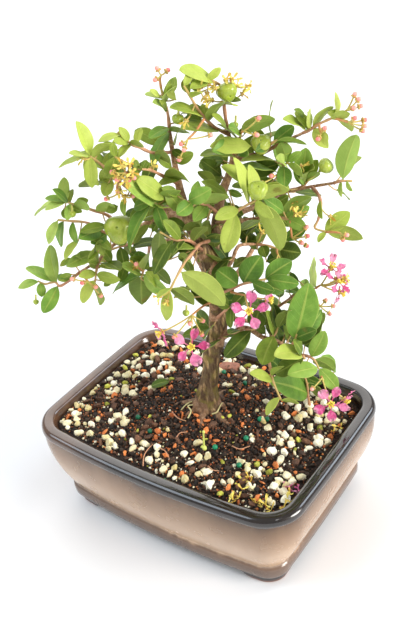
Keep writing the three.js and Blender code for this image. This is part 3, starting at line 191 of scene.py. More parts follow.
# Leafy shoots: a name, the twig's rows of column, row, towards, and the leaves' rows of the stalk's
# column and row, the tip's column, row and towards, and the width as it is seen.
SHOOTS = [
    ["top_left", [[170, 134, -8], [168, 115, -8], [165, 103, -6], [161, 88, -6]],
      [[161, 97, 176, 77, -12, 10], [165, 103, 174, 86, 6, 6], [161, 99, 145, 94, -3, 5],
        [163, 111, 153, 102, 3, 5], [168, 127, 149, 138, 3, 10], [170, 131, 189, 131, 6, 6],
        [169, 132, 152, 167, 4, 11]]],
    ["top_middle", [[228, 134, -10], [213, 126, -4], [200, 112, 0], [191, 98, 4], [184, 86, 8]],
      [[204, 117, 170, 107, 9, 8], [201, 113, 181, 113, -12, 8], [184, 87, 190, 73, 3, 8],
        [207, 119, 202, 104, -9, 9], [209, 119, 224, 100, 9, 9], [221, 130, 181, 127, 6, 9],
        [191, 98, 201, 92, 15, 6]]],
    ["top_leader", [[226, 122, -9], [224, 104, -9], [223, 88, -9], [212, 81, -4], [201, 80, -2]],
      [[216, 84, 180, 69, 4, 12], [206, 80, 221, 68, -4, 8], [208, 82, 190, 88, 6, 10],
        [224, 100, 241, 99, -3, 6], [224, 104, 234, 105, 6, 5]]],
    ["upper_left", [[173, 152, -8], [154, 153, 0], [141, 148, 4], [131, 144, 6], [118, 132, 6]],
      [[120, 134, 98, 141, 9, 7], [131, 139, 113, 141, 12, 7], [134, 135, 119, 127, 6, 8],
        [128, 144, 144, 145, 14, 6], [131, 146, 119, 157, 14, 7], [154, 152, 171, 160, 12, 9]]],
    ["left_shade", [[178, 184, -4], [163, 176, 6], [150, 170, 14], [137, 168, 18], [115, 157, 18]],
      [[140, 168, 134, 160, 22, 7], [142, 169, 147, 160, 14, 6], [137, 168, 129, 174, 22, 7],
        [115, 157, 108, 178, 21, 14], [116, 157, 112, 142, 15, 8], [163, 176, 190, 181, 21, 9]]],
    ["far_upper_left", [[112, 175, 9], [103, 166, 12], [90, 156, 14]],
      [[91, 155, 77, 121, 12, 13], [87, 155, 92, 188, 20, 14], [87, 157, 69, 153, 20, 5],
        [87, 159, 71, 160, 9, 5], [87, 161, 58, 167, 14, 5], [93, 155, 110, 143, 20, 9],
        [106, 168, 103, 186, 4, 12]]],
    ["left_rosette", [[128, 236, -18], [110, 217, -8], [95, 211, 0], [80, 206, 3], [66, 202, 4]],
      [[66, 202, 64, 177, 3, 11], [68, 202, 53, 189, 9, 7], [66, 203, 45, 198, 3, 7],
        [66, 204, 45, 210, 8, 7], [67, 207, 34, 215, -2, 4], [74, 203, 90, 208, 12, 9],
        [70, 204, 67, 220, 12, 9], [95, 211, 114, 205, 9, 10]]],
    ["left_middle", [[122, 238, -18], [104, 232, -6], [88, 223, -3], [70, 221, -2], [58, 220, -2]],
      [[58, 220, 48, 244, 2, 9], [63, 221, 60, 247, -6, 8], [72, 222, 77, 243, 4, 7],
        [101, 231, 79, 238, 10, 15], [108, 233, 91, 243, 2, 12]]],
    ["far_left", [[80, 272, -6], [70, 280, -8], [60, 286, -9], [55, 282, -10], [45, 284, -12],
      [38, 281, -12]],
      [[57, 283, 48, 245, -6, 15], [55, 282, 26, 267, -12, 10], [39, 281, 18, 288, -12, 8],
        [40, 282, 42, 297, -8, 9], [58, 285, 43, 313, -3, 15], [72, 278, 58, 278, 3, 5]]],
    ["left_low", [[101, 258, -12], [97, 268, -6], [95, 282, -3]],
      [[96, 272, 79, 276, 3, 9], [96, 276, 120, 280, 4, 11], [98, 266, 122, 268, -6, 7],
        [95, 280, 82, 303, 2, 11], [96, 281, 100, 305, -8, 7], [98, 264, 76, 256, 3, 9],
        [98, 262, 94, 247, 6, 13]]],
    ["left_dark_end", [[134, 243, -36], [122, 246, -39], [110, 250, -39]],
      [[112, 250, 99, 262, -36, 9], [120, 247, 125, 268, -30, 12], [128, 244, 110, 235, -44, 12],
        [112, 250, 96, 242, -45, 9], [126, 245, 134, 258, -45, 9]]],
    ["left_hanging", [[150, 242, -30], [148, 256, -18], [143, 272, -6], [141, 279, -4]],
      [[141, 275, 112, 292, -15, 8], [142, 276, 142, 304, -12, 25], [143, 271, 146, 254, 4, 9],
        [145, 269, 138, 251, -10, 17], [141, 274, 121, 265, 3, 9], [144, 274, 169, 293, 8, 13],
        [145, 268, 170, 284, -12, 10]]],
    ["centre_left", [[167, 209, 8], [158, 205, 16], [151, 203, 20]],
      [[152, 203, 128, 250, 20, 11], [160, 205, 126, 184, 26, 17], [160, 206, 178, 190, 27, 12],
        [155, 204, 165, 232, 26, 13], [151, 203, 133, 208, 12, 11]]],
    ["centre_dark", [[202, 250, 4], [190, 241, 20], [176, 240, 27], [160, 232, 28]],
      [[160, 232, 156, 263, 22, 16], [180, 241, 163, 220, 27, 12], [184, 241, 172, 254, 38, 8],
        [172, 239, 153, 274, 33, 14], [192, 242, 206, 226, 27, 11]]],
    ["front_drooping", [[209, 241, 6], [200, 244, 18], [193, 252, 27], [185, 262, 33],
      [177, 276, 38], [170, 290, 40]],
      [[180, 271, 225, 305, 40, 22], [171, 289, 194, 304, 33, 12], [170, 290, 165, 321, 42, 12],
        [187, 260, 191, 274, 27, 8], [171, 288, 157, 298, 48, 5], [195, 249, 178, 248, 36, 6]]],
    ["centre_top", [[218, 214, -6], [209, 206, 9], [197, 203, 16], [188, 201, 20]],
      [[188, 201, 211, 189, 24, 16], [192, 202, 177, 214, 27, 15], [204, 204, 229, 196, 20, 9],
        [207, 205, 194, 221, 24, 13], [195, 202, 198, 181, 14, 10]]],
    ["right_bright", [[217, 223, -4], [227, 221, 12], [236, 212, 18], [247, 205, 22],
      [257, 200, 24]],
      [[239, 209, 215, 219, 27, 13], [236, 212, 225, 253, 26, 19], [249, 203, 235, 157, 21, 10],
        [251, 202, 250, 164, 12, 12], [256, 200, 289, 188, 30, 12], [256, 201, 273, 218, 34, 10],
        [254, 202, 281, 250, 27, 19]]],
    ["right_stub_end", [[276, 217, -3], [283, 218, 3], [292, 221, 6]],
      [[280, 217, 311, 196, 9, 14], [283, 218, 310, 207, 0, 12], [286, 219, 306, 229, 12, 12],
        [279, 217, 267, 205, 0, 8]]],
    ["arch_end", [[256, 244, 3], [268, 246, 6], [279, 249, 8]],
      [[279, 249, 301, 253, 14, 19], [271, 247, 283, 263, 0, 12], [262, 245, 266, 257, 12, 12],
        [258, 244, 265, 229, 6, 8], [262, 245, 240, 240, -6, 9], [276, 248, 290, 240, -3, 9]]],
    ["centre_blue", [[216, 296, 6], [229, 290, 20], [243, 284, 27], [256, 281, 30], [266, 279, 30]],
      [[244, 284, 261, 256, 28, 23], [264, 279, 292, 261, 27, 20], [266, 279, 299, 284, 36, 15],
        [239, 286, 217, 270, 22, 20], [252, 282, 274, 291, 40, 12], [228, 290, 231, 266, 10, 9]]],
    ["low_left_dark", [[217, 318, 4], [226, 310, 18], [234, 304, 24]],
      [[233, 305, 245, 293, 21, 12], [230, 307, 214, 298, 28, 12], [232, 306, 230, 328, 30, 8]]],
    ["low_middle", [[245, 329, 8], [250, 330, 14], [255, 329, 18]],
      [[252, 330, 224, 357, 21, 16], [254, 329, 259, 311, 9, 18], [253, 330, 270, 320, 6, 8]]],
    ["low_upright_dark", [[270, 339, 14], [275, 334, 20], [278, 327, 21]],
      [[274, 335, 266, 311, 24, 9], [277, 329, 273, 304, 20, 11], [278, 328, 290, 309, 28, 12],
        [274, 335, 262, 365, 26, 21]]],
    ["big_upright", [[289, 349, 18], [294, 342, 24], [297, 334, 26]],
      [[294, 341, 309, 283, 22, 29], [297, 335, 323, 310, 15, 13], [296, 338, 316, 330, 33, 13]]],
    ["low_pale", [[298, 353, 20], [303, 356, 26], [305, 359, 27]],
      [[303, 355, 275, 355, 38, 16], [302, 354, 294, 340, 30, 8], [304, 358, 275, 374, 20, 16]]],
    ["low_right", [[303, 355, 20], [310, 357, 22], [315, 361, 24], [319, 369, 26]],
      [[311, 357, 325, 331, 24, 16], [314, 359, 334, 369, 15, 12], [318, 367, 288, 374, 36, 16],
        [319, 368, 338, 390, 32, 14]]],
    ["sucker", [[312, 420, 0], [310, 408, 3], [308, 394, 6], [306, 380, 9], [301, 372, 10]],
      [[308, 395, 270, 381, 20, 26], [302, 373, 284, 368, 3, 9], [306, 382, 318, 396, 2, 9]]],
    ["low_front", [[273, 340, 15], [269, 354, 18], [270, 367, 24], [273, 381, 28],
      [281, 400, 32]],
      [[272, 380, 250, 373, 33, 10], [280, 398, 266, 415, 38, 8], [281, 400, 299, 403, 36, 4],
        [272, 377, 283, 366, 33, 6]]],
    ["right_centre_end", [[292, 297, -4], [303, 292, 3], [316, 288, 9]],
      [[315, 288, 313, 257, 12, 7], [308, 290, 304, 279, -4, 9], [300, 293, 286, 290, -12, 8]]],
    ["right_upper_base", [[232, 155, -12], [238, 146, -3], [241, 133, 2]],
      [[241, 132, 275, 118, 6, 14], [239, 143, 213, 151, 12, 17], [238, 146, 248, 155, 9, 10],
        [240, 136, 229, 127, 12, 7]]],
    ["right_upper_middle", [[266, 151, -4], [271, 144, 3], [277, 140, 6]],
      [[273, 143, 294, 126, 3, 14], [270, 145, 256, 151, 10, 10], [276, 141, 307, 143, 12, 5]]],
    ["right_upper_tip", [[303, 133, 9], [311, 129, 12], [319, 124, 14], [330, 119, 15],
      [338, 116, 15]],
      [[307, 131, 283, 119, 18, 7], [309, 130, 295, 112, 8, 9], [311, 129, 309, 109, 18, 5],
        [313, 128, 333, 106, 14, 7], [314, 127, 328, 148, 22, 13], [330, 119, 350, 113, 22, 9],
        [337, 116, 336, 92, 10, 5], [336, 117, 352, 131, 9, 6]]],
    ["right_inner", [[277, 196, -16], [279, 181, -9], [282, 168, -3], [288, 162, 2]],
      [[282, 170, 273, 141, -12, 9], [287, 163, 280, 142, 6, 15], [284, 166, 284, 188, 8, 15],
        [287, 163, 303, 176, 9, 7], [288, 162, 301, 152, 4, 8], [285, 165, 276, 158, 12, 8],
        [281, 173, 240, 166, 6, 5]]],
    ["right_broad", [[294, 190, -9], [301, 187, -4], [306, 183, -2], [309, 179, 0]],
      [[302, 186, 306, 148, -3, 20], [307, 182, 319, 172, 6, 8], [304, 184, 296, 171, 4, 7]]],
    ["right_end", [[334, 183, 4], [341, 181, 8], [352, 181, 9]],
      [[342, 181, 356, 134, 9, 21], [341, 181, 341, 197, 12, 4], [346, 181, 352, 191, 15, 4]]],
    ["right_hanging", [[312, 187, -3], [319, 196, 6], [321, 208, 9], [318, 220, 10], [315, 228, 12],
      [326, 232, 15]],
      [[320, 199, 322, 219, 16, 5], [325, 231, 350, 212, 12, 16], [326, 232, 363, 238, 18, 13],
        [325, 232, 318, 242, 20, 6]]],
    ["back_left_end", [[170, 218, -50], [163, 212, -52], [155, 206, -53]],
      [[155, 206, 132, 196, -48, 16], [157, 207, 150, 228, -57, 14], [164, 213, 178, 196, -58, 14],
        [160, 210, 150, 190, -56, 12], [168, 216, 184, 224, -50, 12], [156, 206, 143, 214, -60, 9]]],
    ["back_right_end", [[262, 226, -40], [265, 217, -42], [268, 207, -43]],
      [[268, 207, 288, 196, -36, 15], [267, 210, 250, 202, -48, 14], [264, 220, 284, 228, -36, 15],
        [263, 222, 248, 230, -38, 12], [268, 207, 272, 186, -44, 12], [265, 217, 255, 212, -50, 9]]],
    ["back_middle", [[209, 262, -4], [204, 240, -18], [208, 218, -28], [212, 206, -32]],
      [[208, 218, 188, 205, -40, 14], [209, 214, 226, 200, -34, 14], [206, 228, 226, 236, -34, 13],
        [205, 234, 186, 226, -34, 13], [212, 206, 214, 186, -36, 13],
        [212, 206, 200, 192, -44, 10]]],
]

# How light each leaf of a shoot is, from 0, dark olive, to 1, bright yellow-green, in the order of
# the shoot's leaves.
LEAF_TONES = {
    "top_left": [0.8, 0.7, 0.7, 0.6, 0.4, 0.5, 0.35],
    "top_middle": [0.45, 0.25, 0.6, 0.5, 0.25, 0.5, 0.6],
    "top_leader": [0.65, 0.7, 0.45, 0.35, 0.85],
    "upper_left": [0.8, 0.6, 0.65, 0.5, 0.6, 0.2],
    "left_shade": [0.15, 0.15, 0.2, 0.3, 0.5, 0.4],
    "far_upper_left": [0.75, 0.65, 0.6, 0.6, 0.6, 0.55, 0.8],
    "left_rosette": [0.75, 0.3, 0.6, 0.8, 0.9, 0.6, 0.7, 0.75],
    "left_middle": [0.85, 0.45, 0.5, 0.35, 0.4],
    "far_left": [0.65, 0.6, 0.6, 0.55, 0.4, 0.2],
    "left_low": [0.8, 0.6, 0.55, 0.85, 0.4, 0.4, 0.35],
    "left_dark_end": [0.6, 0.15, 0.3, 0.5, 0.15],
    "left_hanging": [0.4, 0.15, 0.95, 0.4, 0.85, 0.8, 0.2],
    "centre_left": [0.35, 0.65, 0.5, 0.3, 0.35],
    "centre_dark": [0.1, 0.4, 0.15, 0.2, 0.25],
    "front_drooping": [0.9, 0.25, 0.85, 0.2, 0.8, 0.3],
    "centre_top": [0.45, 0.4, 0.8, 0.6, 0.6],
    "right_bright": [0.75, 0.8, 0.95, 0.85, 0.85, 0.8, 0.85],
    "right_stub_end": [0.55, 0.5, 0.7, 0.5],
    "arch_end": [0.15, 0.2, 0.3, 0.2, 0.3, 0.3],
    "centre_blue": [0.3, 0.35, 0.4, 0.4, 0.3, 0.25],
    "low_left_dark": [0.15, 0.25, 0.3],
    "low_middle": [0.2, 0.25, 0.3],
    "low_upright_dark": [0.4, 0.15, 0.25, 0.5],
    "big_upright": [0.5, 0.35, 0.25],
    "low_pale": [0.9, 0.25, 0.2],
    "low_right": [0.7, 0.5, 0.75, 0.7],
    "sucker": [0.45, 0.2, 0.3],
    "low_front": [0.9, 0.95, 0.8, 0.5],
    "right_centre_end": [0.85, 0.7, 0.4],
    "right_upper_base": [0.5, 0.45, 0.3, 0.4],
    "right_upper_middle": [0.3, 0.2, 0.45],
    "right_upper_tip": [0.5, 0.7, 0.95, 0.5, 0.8, 0.75, 0.95, 0.85],
    "right_inner": [0.5, 0.45, 0.35, 0.75, 0.6, 0.85, 0.6],
    "right_broad": [0.55, 0.6, 0.5],
    "right_end": [0.5, 0.8, 0.9],
    "right_hanging": [0.6, 0.65, 0.6, 0.8],
    "back_left_end": [0.35, 0.4, 0.3, 0.45, 0.35, 0.3],
    "back_right_end": [0.35, 0.4, 0.3, 0.45, 0.35, 0.3],
    "back_middle": [0.35, 0.3, 0.4, 0.35, 0.3, 0.4],
}
SHOOT_SLOTS = {
    "leaf_bright": ["top_leader", "front_drooping", "right_bright", "right_hanging", "low_pale",
                    "low_front", "far_upper_left", "upper_left", "right_upper_tip", "left_low"],
    "leaf_dark": ["centre_dark", "low_left_dark", "arch_end", "left_dark_end", "low_middle",
                  "left_shade", "back_left_end", "back_right_end", "low_upright_dark", "back_middle",
                  "top_middle"],
}

# Flower heads: a name, the common stalk's rows of column, row, towards, the open flowers' rows of
# column, row, towards, turn in degrees and how far each faces the viewer, then the buds.
FLOWER_HEADS = [
    ["front", [[215, 300, 3], [202, 307, 21], [192, 315, 33]],
      [[191, 347, 40, 80, 1.0], [162, 332, 39, 200, 0.1]],
      [[174, 337, 38], [202, 335, 36], [190, 324, 44], [203, 321, 32]]],
    ["middle", [[231, 292, 21], [239, 294, 30], [245, 295, 36]],
      [[249, 311, 42, 85, 1.0], [267, 299, 38, 30, 0.2]],
      []],
    ["right_open", [[316, 288, 9], [319, 286, 12], [321, 285, 14]],
      [[331, 268, 15, 70, 0.3], [337, 281, 20, 10, 0.1], [340, 292, 16, 300, 0.2]],
      []],
    ["right_buds", [[300, 294, 2], [310, 300, 8], [320, 306, 12]],
      [],
      [[334, 306, 14], [330, 314, 16], [326, 300, 9]]],
    ["low_right", [[320, 371, 26], [321, 375, 28], [322, 378, 30]],
      [[331, 404, 38, 60, 0.9], [344, 399, 30, 20, 0.4]],
      [[312, 389, 36]]],
    ["upper_high", [[338, 116, 15], [343, 113, 16], [347, 110, 18]],
      [],
      [[355, 94, 18], [359, 99, 21], [361, 106, 18], [354, 108, 24]]],
    ["upper_low", [[334, 118, 15], [341, 120, 18], [348, 122, 20]],
      [],
      [[355, 118, 21], [365, 120, 18], [365, 126, 22], [363, 131, 20]]],
    ["right_row", [[290, 221, 6], [291, 230, 9], [292, 238, 10]],
      [],
      [[307, 227, 12], [308, 236, 15], [302, 243, 16], [307, 246, 9]]],
    ["hanging_pair", [[277, 249, 8], [277, 252, 14], [278, 255, 18]],
      [],
      [[283, 262, 22], [273, 268, 26]]],
    ["upper_pair", [[241, 133, 2], [242, 132, 8], [244, 131, 10]],
      [],
      [[259, 118, 14], [257, 135, 15]]],
]

# Small flower heads that have no solid of their own, in the same form as FLOWER_HEADS.
SMALL_HEADS = [
    ["left_shade_spray", [[130, 172, 16], [126, 174, 22], [124, 173, 26]],
     [], [[129, 180, 24], [117, 180, 26], [134, 178, 24], [112, 172, 22]]],
    ["upper_left_buds", [[119, 180, 14], [117, 188, 16], [119, 193, 18]],
     [], [[106, 199, 18], [133, 196, 18], [118, 191, 22]]],
    ["top_left_buds", [[161, 88, -6], [160, 80, -5], [161, 75, -4]],
     [], [[157, 68, -4], [168, 70, -6], [155, 80, -2]]],
    ["inner_right_bud", [[280, 174, -3], [277, 175, 2], [275, 176, 4]],
     [], [[271, 176, 8], [261, 184, 10]]],
    ["upper_centre_buds", [[204, 119, 3], [195, 132, 6], [188, 139, 8]],
     [], [[181, 144, 10], [184, 150, 12], [179, 160, 10], [211, 135, 8]]],
    ["far_left_buds", [[80, 272, -6], [84, 277, -2], [88, 281, 0]],
     [], [[82, 283, 2], [96, 287, 2], [101, 296, 0], [72, 279, 4]]],
    ["left_hanging_bud", [[143, 271, -6], [140, 269, -2], [138, 267, 2]],
     [], [[136, 264, 4]]],
    ["upper_tip_buds", [[319, 124, 14], [320, 130, 16], [321, 133, 18]],
     [], [[318, 139, 20], [325, 128, 20]]],
    ["hanging_buds", [[326, 232, 15], [334, 232, 18], [340, 233, 20]],
     [], [[347, 235, 22], [343, 240, 20]]],
]

# Withered flowers: column, row, towards of each, then of the place on the twig that holds it.
SPENT_FLOWERS = [
    [199, 88, 2, 201, 92, -1], [207, 93, -4, 208, 82, -4], [212, 100, -6, 224, 100, -9],
    [226, 80, -3, 222, 88, -9], [236, 86, -6, 224, 92, -9], [242, 94, -8, 224, 102, -9],
    [293, 204, 2, 288, 192, -10], [300, 214, 4, 292, 220, 6], [301, 166, 4, 288, 163, 2],
    [160, 296, 40, 170, 290, 40], [167, 301, 42, 170, 290, 40], [330, 216, 12, 321, 208, 9],
    [118, 176, 24, 127, 172, 17], [136, 266, -2, 143, 268, -6], [262, 232, 8, 256, 244, 3],
    [186, 121, 8, 195, 104, 2], [302, 302, 6, 310, 300, 8], [84, 158, 16, 91, 157, 14],
    [122, 166, 24, 127, 172, 17], [126, 180, 26, 127, 172, 17], [119, 190, 22, 117, 176, 14],
    [129, 165, 22, 127, 172, 17], [124, 196, 20, 120, 186, 16], [132, 172, 26, 127, 172, 17],
    [214, 88, 0, 224, 92, -9], [232, 80, -3, 224, 90, -9], [205, 98, 2, 201, 92, -1],
    [246, 86, -7, 236, 86, -8], [296, 214, 8, 288, 218, 2], [340, 281, 20, 322, 286, 12],
    [336, 279, 18, 322, 286, 12], [345, 278, 20, 330, 282, 16], [152, 168, 12, 150, 170, 12],
]

# Small green fruits that have just set: column, row, towards, radius.
YOUNG_FRUITS = [
    [178, 119, 4, 3.2], [186, 313, 36, 2.0], [235, 125, 2, 1.9], [36, 302, -8, 1.8], [72, 214, 8, 2.2],
]

# Leaves seen between the shoots' own: column and row of the base, column and row of the tip,
# towards, the width it looks, and how light it is from 0 to 1.
EXTRA_LEAVES = [
    [190, 94, 184, 78, -6, 9, 0.35], [200, 93, 192, 79, -8, 9, 0.15],
    [186, 118, 204, 112, -10, 14, 0.12], [204, 122, 183, 119, -6, 9, 0.3],
    [172, 150, 184, 157, -2, 9, 0.08], [176, 163, 193, 153, 4, 11, 0.4],
    [172, 168, 158, 158, 2, 9, 0.4], [184, 176, 158, 184, 10, 8, 0.45],
    [112, 143, 128, 138, 6, 8, 0.5], [98, 150, 113, 143, 14, 9, 0.45],
    [104, 176, 116, 150, 10, 15, 0.42], [84, 158, 98, 186, 14, 9, 0.65],
    [138, 168, 150, 163, 16, 9, 0.2], [133, 176, 141, 166, 20, 8, 0.2],
    [165, 128, 150, 138, -2, 9, 0.35], [176, 100, 168, 84, 2, 8, 0.8],
    [160, 96, 150, 90, 4, 5, 0.85], [166, 112, 160, 100, 0, 5, 0.55],
    [137, 144, 140, 128, 8, 8, 0.75], [118, 150, 108, 160, 14, 5, 0.3],
    [112, 178, 104, 196, 10, 12, 0.6], [124, 180, 140, 176, 22, 9, 0.55],
    [208, 86, 192, 76, -6, 9, 0.35], [222, 98, 218, 86, -8, 5, 0.3],
    [204, 118, 190, 105, -4, 8, 0.1], [227, 130, 212, 114, 2, 5, 0.5],
    [241, 130, 259, 117, 6, 7, 0.2], [238, 131, 252, 132, 4, 4, 0.35],
    [252, 146, 210, 146, 8, 16, 0.72], [236, 157, 200, 155, 6, 7, 0.45],
    [306, 120, 295, 109, 12, 5, 0.15], [309, 130, 298, 118, 14, 6, 0.6],
    [311, 128, 308, 112, 12, 3, 0.8], [345, 118, 328, 113, 16, 9, 0.7],
    [318, 131, 328, 141, 16, 8, 0.6], [274, 142, 292, 152, 2, 12, 0.45],
    [303, 176, 318, 160, -4, 14, 0.45], [276, 161, 241, 160, 4, 5, 0.6],
    [222, 176, 201, 160, -14, 13, 0.08], [222, 162, 203, 170, -16, 12, 0.12],
    [205, 186, 222, 178, -12, 9, 0.15], [250, 186, 222, 166, 14, 11, 0.75],
    [262, 190, 232, 186, 8, 7, 0.3], [290, 190, 276, 182, 2, 9, 0.55],
    [70, 203, 72, 189, 2, 7, 0.35], [76, 203, 88, 200, 4, 9, 0.5], [70, 206, 82, 212, 6, 8, 0.3],
    [64, 208, 68, 219, 8, 9, 0.4], [118, 206, 106, 212, 8, 9, 0.35], [79, 240, 64, 259, 4, 7, 0.8],
    [108, 226, 80, 232, 8, 10, 0.3], [112, 250, 92, 238, 0, 9, 0.35],
    [104, 256, 98, 240, 2, 10, 0.45], [112, 262, 100, 246, -4, 10, 0.3],
    [99, 252, 66, 266, 4, 12, 0.38], [72, 258, 60, 266, 0, 6, 0.3],
    [100, 268, 90, 262, -4, 8, 0.25], [128, 262, 120, 282, -14, 10, 0.25],
    [72, 274, 58, 280, 2, 8, 0.3], [112, 280, 104, 286, -4, 6, 0.3],
    [150, 203, 130, 222, 10, 14, 0.2], [126, 196, 124, 216, 20, 6, 0.35],
    [166, 200, 136, 178, 22, 17, 0.6], [150, 268, 130, 258, -6, 12, 0.3],
    [160, 288, 146, 272, 4, 10, 0.55], [178, 196, 162, 188, 20, 9, 0.3],
    [185, 212, 164, 190, 18, 16, 0.35], [230, 199, 202, 181, 14, 9, 0.5],
    [208, 216, 200, 190, 10, 14, 0.12], [228, 190, 242, 196, 12, 7, 0.15],
    [168, 218, 186, 230, 14, 12, 0.06], [182, 230, 200, 224, 18, 8, 0.25],
    [210, 240, 206, 220, 0, 10, 0.08], [214, 240, 222, 222, -4, 9, 0.05],
    [224, 238, 206, 238, 6, 9, 0.1], [183, 236, 176, 250, 12, 9, 0.06],
    [196, 250, 180, 244, 18, 8, 0.06], [190, 262, 178, 254, 20, 9, 0.05],
    [192, 272, 184, 258, 22, 10, 0.1], [228, 262, 212, 241, -2, 12, 0.1],
    [232, 268, 248, 258, -4, 9, 0.05], [214, 290, 236, 276, 6, 16, 0.2],
    [232, 300, 214, 284, 4, 14, 0.3], [220, 300, 244, 300, 16, 12, 0.15],
    [264, 240, 254, 226, 2, 10, 0.08], [240, 236, 258, 238, -8, 7, 0.2],
    [164, 262, 178, 248, 14, 9, 0.25], [174, 298, 190, 288, 20, 9, 0.2],
    [130, 252, 142, 262, -8, 10, 0.15], [262, 190, 284, 186, 24, 8, 0.75],
    [284, 212, 264, 198, 16, 13, 0.35], [284, 240, 306, 228, 4, 12, 0.4],
    [258, 250, 250, 234, 0, 10, 0.15], [266, 262, 290, 252, 2, 13, 0.15],
    [262, 284, 284, 292, 22, 12, 0.28], [290, 272, 298, 284, 10, 6, 0.2],
    [266, 334, 252, 322, 6, 12, 0.2], [240, 300, 222, 312, 10, 10, 0.1],
    [286, 332, 272, 312, 10, 12, 0.05], [262, 310, 272, 334, 12, 8, 0.2],
    [300, 340, 324, 312, 4, 16, 0.3], [322, 334, 318, 304, -4, 9, 0.55],
    [304, 346, 320, 336, 4, 12, 0.25], [300, 362, 272, 362, 10, 14, 0.12],
    [282, 372, 264, 356, 14, 12, 0.2], [300, 372, 322, 384, 8, 10, 0.2],
    [336, 372, 322, 356, 6, 9, 0.45],
]

# Fruits: a name, the middle's column, row, towards, the radius in millimetres, and the place on the
# twig from which the fruit's stalk comes.
FRUITS = [
    ["left", [119, 229, 6], 8.2, [128, 236, -18]],
    ["top", [227, 92, -4], 5.4, [223, 86, -9]],
    ["upper", [261, 144, 2], 5.6, [262, 153, -4]],
    ["right", [326, 166, 3], 4.4, [308, 180, 0]],
    ["middle", [258, 190, 32], 5.2, [258, 200, 24]],
]

# How far roots bend and thin out, and how deep a root's middle lies below the soil's surface, by the
# share of its length.
ROOT_BEND = 0.25
ROOT_TAPER = 0.75
ROOT_DEPTHS = [(0.05, -1.2), (0.35, 0.2), (0.68, 1.4), (1, 5)]

# Surface roots: the compass direction in degrees, the length and the radius at the trunk.
ROOTS = [
    [-75, 26, 3.6], [-25, 30, 4.2], [30, 24, 3.4], [85, 30, 4.0], [140, 25, 3.6], [190, 31, 4.2],
    [235, 24, 3.2],
]

# What lies on the soil, by the column and row at which it is seen: fertiliser pellets, the ends of
# pale and of brown roots, withered petals, and pink ones.
PELLETS = [
    [260, 419], [267, 419], [246, 438], [239, 465], [164, 481], [150, 431], [138, 417], [245, 383],
    [215, 447], [224, 372],
]
PALE_ROOTS = [
    [[188, 418], [191, 411], [188, 406], [195, 405], [199, 407]],
    [[212, 414], [217, 412], [220, 406], [222, 403]],
    [[196, 400], [187, 404], [181, 410]],
]
BROWN_ROOTS = [
    [[143, 466], [144, 456], [148, 449], [153, 444]],
    [[176, 438], [180, 433], [187, 432]],
    [[208, 466], [213, 470], [219, 471]],
    [[172, 412], [178, 418], [186, 421]],
    [[160, 448], [166, 452], [170, 460]],
    [[232, 446], [240, 449], [250, 446]],
]
FALLEN_YELLOW = [
    [228, 503], [233, 500], [239, 497], [242, 489], [245, 480], [248, 476], [250, 482], [256, 503],
    [261, 507], [266, 505], [271, 510], [284, 507], [287, 499], [290, 494], [334, 431], [340, 427],
]
FALLEN_PINK = [[287, 487], [291, 491], [298, 488]]
FALLEN_LEAF = {"stalk": [150, 387], "tip": [169, 381], "width": 8.5, "tone": 0.12}
SPROUT = [[204, 449, 0], [203, 441, 5], [205, 434, 10], [204, 429, 14]]
BARK_CHIP = {"column": 230, "row": 368, "length": 15, "width": 9, "thickness": 4.5, "turn": 20}


def unit(vector):
    return vector / np.linalg.norm(vector)


VIEW_BACK = np.array([
    math.sin(VIEW_AZIMUTH) * math.cos(VIEW_ELEVATION),
    -math.cos(VIEW_AZIMUTH) * math.cos(VIEW_ELEVATION),
    math.sin(VIEW_ELEVATION),
])
LEVEL_RIGHT = np.array([math.cos(VIEW_AZIMUTH), math.sin(VIEW_AZIMUTH), 0])
LEVEL_UP = np.cross(VIEW_BACK, LEVEL_RIGHT)
VIEW_RIGHT = LEVEL_RIGHT * math.cos(VIEW_ROLL) + LEVEL_UP * math.sin(VIEW_ROLL)
VIEW_UP = LEVEL_UP * math.cos(VIEW_ROLL) - LEVEL_RIGHT * math.sin(VIEW_ROLL)
EYE = VIEW_TARGET + VIEW_BACK * VIEW_DISTANCE
TOWARDS_VIEWER = np.array([math.sin(VIEW_AZIMUTH), -math.cos(VIEW_AZIMUTH), 0])


def look_along(column, row):
    """The direction in which the viewer looks to see a column and row."""
    across = VIEW_RIGHT * (column - VIEW_CENTRE_COLUMN)
    return across + VIEW_UP * (VIEW_CENTRE_ROW - row) - VIEW_BACK * VIEW_FOCAL


def sight(place):
    """The place seen at a column and row, a distance towards the viewer from the trunk's plane."""
    column, row, towards = place
    look = look_along(column, row)
    reach = ((TRUNK_FOOT - EYE) @ TOWARDS_VIEWER + towards) / (look @ TOWARDS_VIEWER)
    return EYE + look * reach


def seen_at(points):
    """The columns and rows at which points are seen."""
    away = points - EYE
    scale = -VIEW_FOCAL / (away @ VIEW_BACK)
    columns = VIEW_CENTRE_COLUMN + (away @ VIEW_RIGHT) * scale
    rows = VIEW_CENTRE_ROW - (away @ VIEW_UP) * scale
    return np.stack([columns, rows], axis=1)


def frame_scale(point):
    """Millimetres per step of the frame at a place."""
    return -((point - EYE) @ VIEW_BACK) / VIEW_FOCAL


def soil_height(x, y):
    """The height of the soil's surface: level at the wall and mounded up around the trunk."""
    spread = np.hypot((x - TRUNK_FOOT[0]) / SOIL_MOUND_HALF_LENGTH,
                      (y - TRUNK_FOOT[1]) / SOIL_MOUND_HALF_WIDTH)
    return SOIL_EDGE_HEIGHT + SOIL_SLOPE * x + SOIL_MOUND_RISE * np.exp(-SOIL_MOUND_STEEPNESS * spread ** 2)


def on_soil(column, row, lift=0.0):
    """The place on the soil's surface that is seen at a column and row, raised by a lift."""
    look = look_along(column, row)
    place = TRUNK_FOOT
    for _ in range(8):
        height = soil_height(place[0], place[1]) + lift
        place = EYE + look * ((height - EYE[2]) / look[2])
    return place


